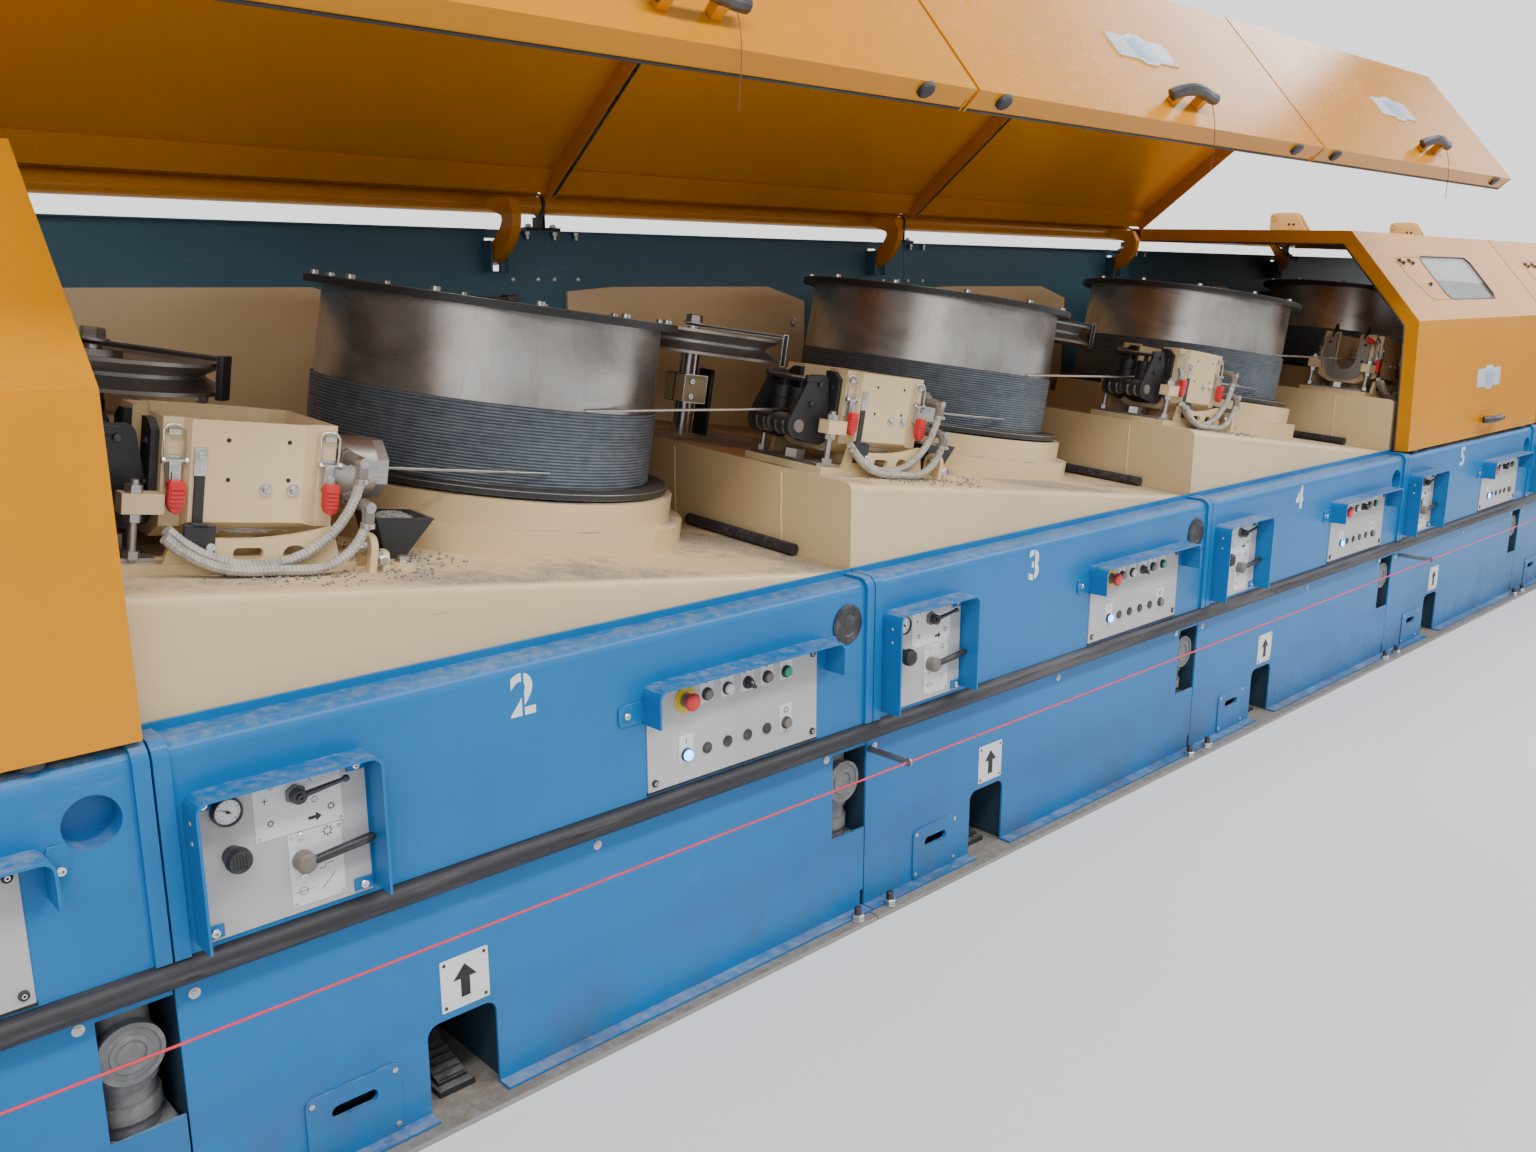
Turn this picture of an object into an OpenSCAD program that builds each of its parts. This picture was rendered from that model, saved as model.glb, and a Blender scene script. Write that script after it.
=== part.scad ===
// Straight-line wire drawing machine: a row of six like drawing blocks under tilting hoods.
// X runs along the line, -Y is the operator's side, Z is up, and the floor is Z = 0.
// Each block is drawn from its own left seam: x along the line, y back from the front
// face, z above the floor.

/* [Line] */
// Length of one drawing block along the line
pitch = 1700; // [1500:10:2200]
// Gap between two neighbouring blocks' sheet parts
seam_gap = 4; // [2:1:8]
// Depth of a block from the front face to the back wall
block_depth = 1385; // [1300:5:1600]

/* [Base] */
// Thickness of the base plate on the floor
base_t = 12; // [8:1:25]
// Reach of the base plate before the front face
base_lip = 48; // [30:1:90]
// Diameter of an anchor hole
anchor_d = 22; // [14:1:30]
// Distance of an anchor hole from its block's end
anchor_x = 62; // [40:1:120]
// Distance of the base plates' joints to the left of the blocks' seams
base_joint = 12; // [8:1:20]

/* [Lower panels] */
// Sheet thickness of the lower panels
panel_t = 6; // [2:1:8]
// Setback of the lower panels behind the front face
panel_set = 14; // [8:1:30]
// Height of the top edge of the lower panels
panel_top = 481; // [440:1:520]
// Reach of the out-turned flange at a lower panel's foot
panel_flange = 34; // [20:1:40]
// Width of a drain opening
drain_w = 122; // [90:1:150]
// Height of a drain opening
drain_h = 226; // [160:1:260]
// Height of a drain opening's sill
drain_z = 238; // [180:1:250]
// Outer diameter of a drain pipe
pipe_d = 104; // [75:1:112]
// Width of a pedal arch
arch_w = 154; // [120:1:200]
// Height of a pedal arch above the floor
arch_h = 204; // [150:1:260]
// Place of the pedal arch's middle
arch_x = 522; // [450:1:620]
// Place of the hatch's middle
hatch_x = 290; // [200:1:340]
// Width of the hatch cover
hatch_w = 188; // [150:1:240]
// Height of the hatch cover
hatch_h = 146; // [100:1:200]
// Side of an arrow plate
arrow_s = 106; // [80:1:130]

/* [Upper housing] */
// Height of the flat strip on top of the housing
deck_z = 900; // [840:1:980]
// Radius of the housing's front top edge
deck_r = 30; // [10:1:45]
// Distance from the front face to the cream bed
bed_set = 80; // [60:1:120]
// Width of the raised rib at each end of a housing
rib_w = 26; // [15:1:40]
// Height of the raised rib
rib_h = 8; // [4:1:12]
// Diameter of the front bumper rail
rail_d = 48; // [30:1:60]
// Diameter of the round port in a housing
port_d = 88; // [60:1:110]
// Distance of the round port from the housing's right end
port_set = 92; // [80:1:120]
// Height of the round port below the deck
port_low = 98; // [80:1:120]

/* [Bed] */
// Height of the bed's top at its front left corner
bed_top = 1130; // [1110:1:1200]
// Slope of the bed down to the right, in degrees
bed_side = 7.5; // [4:0.1:7.6]
// Slope of the bed down to the front, in degrees
bed_front = 3.7; // [0:0.1:6]
// Radius of the bed's front top edge
bed_r = 22; // [8:1:40]

/* [Capstan] */
// Place of the capstan along its block
cap_x = 1058; // [1020:1:1150]
// Place of the capstan behind the front face
cap_y = 782; // [760:1:820]
// Radius of the drum at its foot
drum_r = 414; // [380:1:425]
// Loss of radius of the drum at its top
drum_taper = 5; // [0:1:10]
// Height of the drum's top above the bed
drum_top = 524; // [480:1:560]
// Wall of the drum
drum_wall = 16; // [10:1:25]
// Reach of the top flange past the drum
flange_reach = 40; // [20:1:50]
// Thickness of the top flange
flange_t = 18; // [10:1:25]
// Diameter of the spindle that carries the drum
spindle_d = 120; // [90:1:180]
// Radius of the pedestal's lower tier
tier_r = 520; // [500:1:535]
// Height of the pedestal's lower tier
tier_h = 58; // [40:1:70]
// Radius of the pedestal's upper tier
tier2_r = 486; // [475:1:498]
// Height of the pedestal's top above the bed
pedestal_h = 120; // [110:1:124]
// Diameter of the drawn wire
wire_d = 7; // [5:0.5:9]
// Turns of wire on a drum
turns = 24; // [16:1:25]

/* [Pulley] */
// Place of the pulley post along its block
post_x = 224; // [210:1:300]
// Place of the pulley post behind the front face
post_y = 1013; // [1000:1:1050]
// Diameter of the pulley post
post_d = 60; // [45:1:75]
// Radius of the guide pulley
pulley_r = 270; // [220:1:275]
// Thickness of the guide pulley
pulley_t = 70; // [50:1:80]
// Height of the pulley's middle above the bed
pulley_h = 286; // [270:1:320]
// Depth of the pulley's groove
groove = 42; // [20:1:60]
// Diameter of the pulley's axle
axle_d = 40; // [30:1:44]

/* [Die box] */
// Place of the die box's middle along its block
box_x = 272; // [265:1:330]
// Length of the soap box
box_l = 310; // [280:1:320]
// Depth of the soap box
box_w = 260; // [240:1:270]
// Height of the soap box's top above the bed
box_top = 270; // [250:1:290]
// Height of the soap box's lower front edge above the bed
box_z = 90; // [84:1:100]
// Height of the soap box's bottom above the bed
box_low = 52; // [46:1:60]
// Wall of the soap box
box_t = 9; // [6:1:12]
// Length of the ears at the soap box's ends, which carry the latches
box_ear = 34; // [30:1:40]
// Setback of the ears behind the soap box's front
box_step = 18; // [12:1:24]
// Height of the die's axis above the bed
die_h = 178; // [170:1:190]
// Diameter of the die holder
die_d = 124; // [100:1:130]
// Length of the die holder
die_l = 112; // [80:1:120]
// Width of the slot in the inlet plate
slot_u = 96; // [80:1:110]
// Height of the slot's lowest point above the bed
slot_low = 107; // [100:1:120]
// Diameter of a levelling stud
stud_d = 16; // [12:1:20]
// Radius of a roller in the roller cassette
roll_r = 27; // [20:1:28]
// Width between the cassette's side plates
gap_w = 134; // [110:1:140]

/* [Back] */
// Height of the back wall
wall_top = 1772; // [1740:1:1800]
// Sheet thickness of the back wall
wall_t = 8; // [4:1:12]
// Thickness of the cream back plate
plate_t = 12; // [8:1:16]
// Height of the cream back plate's top
plate_top = 1603; // [1500:1:1640]
// Place of a hook arm along its block
arm_x = 1511; // [1440:1:1560]
// Width of the slot for a hook arm
slot_w = 50; // [42:1:60]

/* [Hood] */
// Length of the gap between two hoods
hood_gap = 12; // [10:1:24]
// Sheet thickness of a hood
hood_t = 6; // [3:1:8]
// Height of a closed hood's lower edge
hood_low = 914; // [914:1:930]
// Height of the fold between front and slant
hood_fold = 1462; // [1400:1:1520]
// Depth of the slanted part
hood_slant = 318; // [260:1:360]
// Height of the fold between slant and top
hood_high = 1836; // [1800:1:1860]
// Width of the rim round a hood's open ends
hood_rim = 60; // [50:1:64]
// Distance of the hinge behind the inner side of the back wall
hinge_back = 30; // [30:1:45]
// Height of the hinge
hinge_z = 1850; // [1840:1:1862]
// Diameter of the hinge shaft
shaft_d = 40; // [30:1:44]
// Outer diameter of a hood's hinge tube
tube_d = 60; // [54:1:64]
// Opening angle of a raised hood, in degrees
hood_open = 39; // [20:1:41]

/* [Front panels] */
// Thickness of the panel plates on the front face
plate_front_t = 3; // [2:1:5]
// Depth of the shroud round a panel
shroud_d = 62; // [40:1:80]
// Sheet thickness of a shroud
shroud_t = 5; // [3:1:8]
// Left edge of the lever panel
lever_x = 50; // [45:1:80]
// Width of the lever panel
lever_w = 300; // [280:1:320]
// Height of the lever panel
lever_h = 258; // [220:1:270]
// Left edge of the control panel
ctrl_x = 985; // [940:1:1020]
// Width of the control panel
ctrl_w = 515; // [460:1:540]
// Height of the control panel
ctrl_h = 230; // [200:1:250]
// Height of both panels' lower edge
plates_z = 541; // [536:1:560]
// Spacing of the push buttons
button_s = 61; // [50:1:68]

/* [Pull cord] */
// Diameter of the emergency pull cord
cord_d = 5; // [3:0.5:8]
// Height of the pull cord above the floor
cord_z = 450; // [420:1:470]
// Distance of the pull cord before the front face
cord_out = 118; // [80:1:200]
// Diameter of a cord rod
rod_d = 16; // [10:1:20]

/* [Hidden] */
$fn = 48;

units = 6;
// Hood angles at rest, block by block: the middle three stand open
open_at = [0, 1, 1, 1, 0, 0];
// Blocks whose die box has a roller cassette at its inlet
cassette_at = [1, 1, 1, 1, 0, 0];
cream = "#d8c89c";
blue = "#3f7fb5";
teal = "#2c4a5c";
amber = "#d0820f";
steel = "#8c8a88";
dark = "#2a2a2c";
grey_plate = "#b9bcbe";

run_gap = 6;
hose_d = 20;
hose_s = 23;
keeper_a = -43;
pin_gap = 0.5;
seat_gap = 0.05;
front_y = -(block_depth + wall_t + 8 - base_lip) / 2;
rail_y = 2;
rail_z = panel_top + 1 + rail_d / 2;
back_y = block_depth + wall_t;
hinge_y = block_depth + hinge_back;
side_t = tan(bed_side);
front_t = tan(bed_front);
bed_tip = atan(front_t * cos(bed_side));
coil_low = pedestal_h + run_gap + 18;
coil_high = coil_low + turns * wire_d * 1.05;
coil_r = drum_r + wire_d;
ring_low = pedestal_h + run_gap;
die_y = cap_y - coil_r + wire_d / 2;
box_front = die_y - box_w / 2;
hood_len = pitch - hood_gap;
// The hoses hang before the cradle, from fittings on the die holder
fit_x = [box_l / 2 + 32, box_l / 2 + 40];
hose_y = -box_w / 2 - 16 - hose_d / 2 - 2;
box_h = box_top - box_low;
// Radius of the hollow in the cradle's cheek
cheek_r = 700;
stud_u = -box_l / 2 - 45;
stud_v = box_w / 2 - 8;
plate_c = 14;
fit_z = [die_h + 22, die_h - 58];

// Height of the bed's top at a place in a block
function bed_z(x, y) = bed_top - side_t * x + front_t * (y - bed_set);

// Directions along the line, back and up on the sloping bed
bed_u = [cos(bed_side), 0, -sin(bed_side)];
bed_v = [sin(bed_tip) * sin(bed_side), cos(bed_tip), sin(bed_tip) * cos(bed_side)];
bed_w = [cos(bed_tip) * sin(bed_side), -sin(bed_tip), cos(bed_tip) * cos(bed_side)];

// Where a point given in a frame on the bed lies in its block, and the way back for the die box's frame
function on_bed_point(x, y, u, v, w) = [x, y, bed_z(x, y)] + u * bed_u + v * bed_v + w * bed_w;
function at_die(p) = let (q = p - on_bed_point(box_x, die_y, 0, 0, 0)) [q * bed_u, q * bed_v, q * bed_w];

// The wire leaves the top turn of the block before and runs straight into the die
wire_off = on_bed_point(cap_x, cap_y, 0, wire_d / 2 - coil_r, coil_high + wire_d / 2 + 0.5);
wire_from = at_die(wire_off - [pitch, 0, 0]);
function wire_part(u) = (box_l / 2 - u) / (box_l / 2 - wire_from[0]);
function wire_h(u) = die_h + (wire_from[2] - die_h) * wire_part(u);
function wire_v(u) = wire_from[1] * wire_part(u);

// Points of an arc round a centre
function arc(cx, cy, r, a0, a1, n = 8) =
    [for (i = [0:n]) [cx + r * cos(a0 + (a1 - a0) * i / n), cy + r * sin(a0 + (a1 - a0) * i / n)]];

// Unit normal, to the left, of the line from p to q
function left_of(p, q) = let (d = q - p, l = norm(d)) [-d[1] / l, d[0] / l];

// A path moved sideways by d, with mitred corners
function beside(path, d) = [for (i = [0:len(path) - 1])
    let (a = path[max(i - 1, 0)], b = path[min(i + 1, len(path) - 1)],
         n0 = i == 0 ? left_of(path[0], path[1]) : left_of(a, path[i]),
         n1 = i == len(path) - 1 ? n0 : left_of(path[i], b),
         m = (n0 + n1) / (1 + n0 * n1))
    path[i] + m * d];

function reversed(list) = [for (i = [len(list) - 1:-1:0]) list[i]];

// A strip of even width along a path
function strip(path, d) = concat(path, reversed(beside(path, d)));

module bay(k) {
    translate([(k - units / 2) * pitch, front_y, 0]) children();
}

module bays() {
    for (k = [0:units - 1]) bay(k) children();
}

// A frame that stands square on the sloping bed, over a place in a block
module on_bed(x, y) {
    translate([x, y, bed_z(x, y) + seat_gap]) rotate([bed_tip, bed_side, 0]) children();
}

// A profile given as y and z, drawn out along x
module along_x(x0, x1, profile) {
    translate([x0, 0, 0]) rotate([90, 0, 90]) linear_extrude(x1 - x0) polygon(profile);
}

// A plate on the front face, seen from the front as x and z, from y0 back to y1
module front_plate(y0, y1) {
    translate([0, y1, 0]) rotate([90, 0, 0]) linear_extrude(y1 - y0) children();
}

module rounded(x0, z0, w, h, r) {
    polygon(concat(arc(x0 + w - r, z0 + h - r, r, 0, 90, 4), arc(x0 + r, z0 + h - r, r, 90, 180, 4),
        arc(x0 + r, z0 + r, r, 180, 270, 4), arc(x0 + w - r, z0 + r, r, 270, 360, 4)));
}

module arched(x0, z0, w, h, r) {
    polygon(concat([[x0, z0], [x0 + w, z0]], arc(x0 + w - r, z0 + h - r, r, 0, 90, 5),
        arc(x0 + r, z0 + h - r, r, 90, 180, 5)));
}

module anchor_holes(y) {
    for (x = [anchor_x, pitch - anchor_x]) translate([x, y, -1]) cylinder(d = anchor_d, h = base_t + 2);
}

module base_plates() {
    color("#8f8d86") for (k = [0:units - 1]) bay(k) difference() {
        x0 = k == 0 ? seam_gap / 2 : seam_gap - base_joint;
        x1 = pitch - (k == units - 1 ? seam_gap / 2 : base_joint);
        translate([x0, -base_lip, 0]) cube([x1 - x0, back_y + base_lip + 8, base_t]);
        anchor_holes(-base_lip / 2 - 1);
        anchor_holes(back_y - 20);
    }
}

module drain_niche(grow = 0) {
    translate([pitch - drain_w - grow, panel_set - 1, drain_z - grow])
        cube([drain_w + 20 + grow, 230, panel_top]);
}

module inner_frames() {
    color("#34506a") bays() difference() {
        translate([seam_gap, panel_set + panel_t, base_t])
            cube([pitch - 2 * seam_gap, block_depth - panel_set - panel_t - 60, panel_top - base_t]);
        drain_niche(20);
        translate([arch_x - arch_w / 2 - 12, 0, 0]) cube([arch_w + 24, 320, arch_h + 14]);
        translate([hatch_x - 60, 0, base_t + 30]) cube([120, 70, 120]);
    }
}

module panel_outline() {
    difference() {
        translate([seam_gap / 2, base_t]) square([pitch - seam_gap, panel_top - base_t]);
        translate([pitch - drain_w, drain_z]) square([drain_w + 1, drain_h]);
        arched(arch_x - arch_w / 2, 0, arch_w, arch_h, 26);
        rounded(hatch_x - 46, 104, 92, 26, 12.9);
        translate([pitch - 14, 0]) square([20, 62]);
    }
}

module lower_panels() {
    color(blue) bays() {
        difference() {
            union() {
                front_plate(panel_set, panel_set + panel_t) panel_outline();
                translate([seam_gap / 2, panel_set - panel_flange, base_t])
                    cube([pitch - seam_gap, panel_flange + panel_t, panel_t]);
                front_plate(panel_set - 4, panel_set)
                    rounded(hatch_x - hatch_w / 2, base_t + panel_t, hatch_w, hatch_h, 16);
            }
            translate([arch_x - arch_w / 2, panel_set - panel_flange - 1, 0]) cube([arch_w, panel_flange + 20, 30]);
            front_plate(panel_set - 5, panel_set + panel_t + 1) rounded(hatch_x - 46, 104, 92, 26, 12.9);
        }
    }
}

// Section of the blue housing: front face, rounded top edge, deck and the upstand at the bed
function housing_section(out) = concat(
    [[panel_set + panel_t + 8, panel_top], [panel_set + panel_t + 8, rail_z + rail_d / 2 + 1],
     [-out, rail_z + rail_d / 2 + 1]],
    arc(deck_r - out, deck_z + out - deck_r, deck_r, 180, 90, 8),
    [[bed_set - 10, deck_z + out], [bed_set - 10, deck_z], [block_depth, deck_z], [block_depth, panel_top]]);

module upper_housings() {
    color(blue) bays() difference() {
        union() {
            along_x(seam_gap / 2, pitch - seam_gap / 2, housing_section(0));
            for (x = [seam_gap / 2, pitch - seam_gap / 2 - rib_w]) along_x(x, x + rib_w, housing_section(rib_h));
            translate([seam_gap / 2, bed_set - 8, deck_z]) cube([pitch - seam_gap, 7.5, 16]);
        }
        translate([pitch - port_set, 46, deck_z - port_low]) rotate([90, 0, 0]) cylinder(d = port_d, h = 60);
    }
}

module end_panels() {
    color(blue) for (side = [-1, 1])
        translate([side * (units / 2 * pitch + 3 - seam_gap / 2) - 3, front_y, 0])
            along_x(0, 6, [[panel_set, base_t], [panel_set, rail_z + rail_d], [4, rail_z + rail_d],
                [4, deck_z - deck_r], [deck_r, deck_z], [block_depth - 2, deck_z], [block_depth - 2, base_t]]);
}

module rear_panels() {
    color(blue) bays() for (i = [0:1])
        translate([30 + i * (pitch / 2 - 20), back_y, 90]) cube([pitch / 2 - 50, 5, deck_z - 190]);
}

module back_wall() {
    slot_low = hinge_z - 200;
    color(teal) bays() {
        difference() {
            union() {
                translate([seam_gap / 2, block_depth, base_t]) cube([pitch - seam_gap, wall_t, wall_top - base_t]);
                translate([seam_gap / 2, block_depth - 16, wall_top - 4]) cube([pitch - seam_gap, 17, 4]);
            }
            translate([arm_x - slot_w / 2, block_depth - 30, slot_low]) cube([slot_w, wall_t + 60, 96]);
            translate([arm_x - slot_w / 2, block_depth - 30, wall_top - 20]) cube([slot_w, 30, 30]);
        }
        for (s = [-1, 1]) translate([arm_x + s * (slot_w / 2 + 5) - 3, block_depth - 46, slot_low - 4])
            cube([6, 46, 92]);
    }
}

module cream_beds() {
    w = pitch / cos(bed_side) + 200;
    color(cream) bays() intersection() {
        translate([seam_gap / 2 + 1, bed_set, deck_z]) cube([pitch - seam_gap - 2, block_depth - bed_set, 500]);
        translate([0, 0, bed_top]) rotate([0, bed_side, 0]) along_x(-100, w, concat(
            arc(bed_set + bed_r, bed_r * (tan(bed_tip) - 1 / cos(bed_tip)), bed_r, 180, 90 + bed_tip, 8),
            [[block_depth + 10, (block_depth + 10 - bed_set) * front_t * cos(bed_side)],
             [block_depth + 10, -500], [bed_set, -500]]));
    }
}

module back_plates() {
    x0 = 70;
    x1 = 1127;
    color(cream) bays() front_plate(block_depth - plate_t, block_depth) polygon([
        [x0, bed_z(x0, block_depth)], [x1, bed_z(x1, block_depth)], [x1, plate_top - 52],
        [x1 - 188, plate_top], [x0 + 184, plate_top], [x0, plate_top - 14]]);
}

module pedestals() {
    color(cream) bays() on_bed(cap_x, cap_y) {
        intersection() {
            cylinder(r = tier_r, h = tier_h, $fn = 96);
            rotate(0) translate([-tier_r - 1, -tier_r * 0.93, -1]) cube([2 * tier_r + 2, 2 * tier_r, tier_h + 2]);
        }
        translate([0, 0, tier_h - 1]) cylinder(r = tier2_r, h = pedestal_h - tier_h + 1, $fn = 96);
        translate([0, 0, pedestal_h - 1]) cylinder(d = spindle_d, h = drum_top - pedestal_h + 1 - 4);
    }
}

module bumper_rail() {
    color(dark) translate([seam_gap - units / 2 * pitch, front_y + rail_y, rail_z]) rotate([0, 90, 0])
        cylinder(d = rail_d, h = units * pitch - 2 * seam_gap);
}

module cord_rods() {
    color(steel) for (k = [0:2:units]) {
        x = (k - units / 2) * pitch + (k == units ? -24 : k == 4 ? 80 : 12);
        translate([x, front_y + panel_set, cord_z]) rotate([90, 0, 0]) {
            cylinder(d = rod_d, h = cord_out + panel_set - 8);
            translate([0, 0, cord_out + panel_set]) rotate([0, 90, 0])
                translate([0, 0, -3]) difference() {
                    cylinder(r = cord_d + 6, h = 6);
                    translate([0, 0, -1]) cylinder(d = cord_d + 0.4, h = 8);
                }
        }
    }
}

module pull_cord() {
    color("#d02030") translate([-units / 2 * pitch + 10, front_y - cord_out, cord_z]) rotate([0, 90, 0])
        cylinder(d = cord_d, h = units * pitch - 20, $fn = 24);
}

module drain_pipes() {
    x = pitch - drain_w / 2 - 12;
    y = panel_set + panel_t + 22 + pipe_d / 2;
    color("#6f7377") bays() {
        translate([x, y, drain_z - 18]) cylinder(d = pipe_d, h = panel_top - drain_z + 18);
        translate([x, y, drain_z + 8]) cylinder(d = pipe_d + 12, h = 30);
        translate([x, y, drain_z + 70]) cylinder(d = pipe_d + 12, h = 26);
        translate([x, y, drain_z + 143]) rotate([90, 0, 0]) {
            cylinder(d = pipe_d - 8, h = pipe_d / 2 + 14);
            translate([0, 0, pipe_d / 2 + 2]) cylinder(d = pipe_d + 4, h = 14);
        }
    }
}

module foot_pedals() {
    color(dark) bays() translate([arch_x - 40, panel_set + 36, base_t]) {
        cube([80, 190, 14]);
        translate([8, 20, 14]) rotate([14, 0, 0]) cube([64, 140, 9]);
        translate([12, 120, 13]) cube([56, 60, 60]);
    }
}

module arrow_plates() {
    color("#e4e4e0") bays() front_plate(panel_set - 2, panel_set)
        rounded(arch_x + 10 - arrow_s / 2, 220, arrow_s, arrow_s + 4, 3);
}

module panel_plates() {
    color(grey_plate) bays() front_plate(-plate_front_t, 0) {
        translate([lever_x, plates_z]) square([lever_w, lever_h]);
        translate([ctrl_x, plates_z]) square([ctrl_w, ctrl_h]);
    }
}

// Sheet shroud: a top with rounded corners and two cheeks of given drop
module shroud(x0, x1, top, drop_l, drop_r, r = 22) {
    path = concat([[x0, top - drop_l]], arc(x0 + r, top - r, r, 180, 90, 4),
        arc(x1 - r, top - r, r, 90, 0, 4), [[x1, top - drop_r]]);
    front_plate(-shroud_d, 0) polygon(strip(path, -shroud_t));
}

module panel_shrouds() {
    lever_top = plates_z + lever_h + 12;
    ctrl_top = plates_z + ctrl_h + 14;
    color(blue) bays() {
        shroud(lever_x - 10, lever_x + lever_w + 10, lever_top, lever_h + 6, lever_h + 6);
        shroud(ctrl_x - 10, ctrl_x + ctrl_w + 40, ctrl_top, 84, 84);
        for (x = [lever_x + lever_w + 9, ctrl_x + ctrl_w + 39]) front_plate(-4, 0) rounded(x, lever_top - 70, 34, 40, 8);
        front_plate(-4, 0) rounded(ctrl_x - 74, ctrl_top - 78, 66, 46, 10);
    }
}

// A round thing on a panel plate, axis towards the operator
module on_plate(x, z) {
    translate([x, -plate_front_t, z]) rotate([90, 0, 0]) children();
}

module lever_controls() {
    x = lever_x;
    z = plates_z;
    color(dark) bays() {
        on_plate(x + 55, z + 224) cylinder(d = 52, h = 16);
        on_plate(x + 60, z + 142) {
            cylinder(d = 24, h = 26);
            translate([0, 0, 12]) cylinder(d = 42, h = 26);
        }
        on_plate(x + 170, z + 220) {
            cylinder(d = 30, h = 26);
            translate([-8, -8, 18]) cube([96, 16, 10]);
        }
        on_plate(x + 176, z + 96) {
            cylinder(d = 38, h = 28);
            translate([-10, -10, 20]) cube([118, 20, 12]);
        }
    }
}

module push_buttons() {
    x0 = ctrl_x + 106;
    top_z = plates_z + 188;
    low_z = plates_z + 62;
    color(dark) bays() {
        on_plate(x0, top_z) {
            cylinder(d = 60, h = 3);
            translate([0, 0, 3]) cylinder(d = 26, h = 16);
            translate([0, 0, 18]) cylinder(d = 40, h = 12);
        }
        for (i = [1:5]) on_plate(x0 + i * button_s, top_z) cylinder(d = 29, h = 14);
        for (i = [0, 5]) on_plate(x0 + i * button_s, low_z) cylinder(d = 29, h = 14);
        for (i = [1:4]) on_plate(x0 + i * button_s, low_z) cylinder(d = 26, h = 4);
    }
}

// The soap box seen from above: a front and back that bulge past the ears at both ends
module box_plan(grow = 0) {
    l = box_l / 2 + grow;
    w = box_w / 2 + grow;
    e = w - box_step;
    polygon([[-l, -e], [-l + box_ear, -e], [-l + box_ear + 8, -w], [l - 2 * box_ear, -w], [l - box_ear, -e],
        [l, -e], [l, e], [l - box_ear, e], [l - 2 * box_ear, w], [-l + box_ear + 8, w], [-l + box_ear, e], [-l, e]]);
}

// The soap box seen from its end: upright sides on a bottom that draws in
module box_section(grow, top) {
    w = box_w / 2 + grow;
    polygon([[-w, top], [w, top], [w, box_z - grow], [62, box_low - grow], [-62, box_low - grow], [-w, box_z - grow]]);
}

module box_solid(grow, top) {
    intersection() {
        linear_extrude(box_top + 40) box_plan(grow);
        translate([-box_l, 0, 0]) rotate([90, 0, 90]) linear_extrude(2 * box_l) box_section(grow, top);
    }
}

// A slot with a round foot, open at the top, across a plate that stands square to the wire
module inlet_slot(u, t, w) {
    translate([u, 0, 0]) rotate([90, 0, 90]) linear_extrude(t) polygon(concat(
        [[-w / 2, box_top + 40]], arc(0, slot_low + w / 2, w / 2, 180, 360, 12), [[w / 2, box_top + 40]]));
}

module die_boxes() {
    color(cream) bays() on_bed(box_x, die_y) difference() {
        union() {
            difference() {
                box_solid(0, box_top);
                box_solid(-box_t, box_top + 20);
            }
            for (s = [-1, 1]) translate([stud_u - 22, s > 0 ? 100 : -stud_v - 14, 104])
                cube([23 - box_l / 2 - stud_u, stud_v - 86, 35]);
        }
        inlet_slot(-box_l / 2 - 1, box_t + 2, slot_u - 4);
        translate([box_l / 2 - box_t - 1, 0, die_h]) rotate([0, 90, 0]) cylinder(d = 26, h = box_t + 2);
        for (s = [-1, 1]) translate([stud_u, s * stud_v, 100]) cylinder(d = stud_d + 1, h = 44);
    }
}

// The cradle's cheek under the box's front, with its hollow top edge and two openings
module cradle_cheek() {
    difference() {
        polygon(concat([[box_l / 2 + 10, 17], [-box_l / 2, 17]], arc(-30, box_low + 10 + cheek_r, cheek_r, 261, 284.5, 8)));
        rounded(-36, 24, 54, 22, 8);
        arched(54, 24, 44, 26, 18);
    }
}

module die_cradles() {
    w = box_w / 2;
    color(cream) bays() on_bed(box_x, die_y) {
        difference() {
            translate([-box_l / 2 - 84, -w - 16, 0]) cube([box_l + 126, 2 * w + 32, 18]);
            translate([-box_l / 2 - 60, 0, -1]) cylinder(d = 26, h = 20);
        }
        for (s = [0, 1]) translate([0, -w - 2 + s * (2 * w + 16), 0]) rotate([90, 0, 0]) linear_extrude(12) cradle_cheek();
        translate([0, 0, 17]) cylinder(d = 118, h = box_low - 17.3);
        translate([box_l / 2 + 58, -w - 10, 0]) difference() {
            translate([0, 0, 0]) rotate([90, 0, 90]) linear_extrude(14) arched(-30, 0, 60, 72, 28);
            translate([-1, 0, 46]) rotate([0, 90, 0]) cylinder(d = 12, h = 16);
        }
        translate([box_l / 2 + 90, -w - 12, 0]) rotate([90, 0, 90]) linear_extrude(12) arched(-20, 0, 44, 40, 18);
        translate([box_l / 2 + 142, -w - 8, 0]) cylinder(d = 52, h = 14);
        translate([box_l / 2 + 38, -w - 20, 0]) cube([106, 26, 10]);
    }
}

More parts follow.
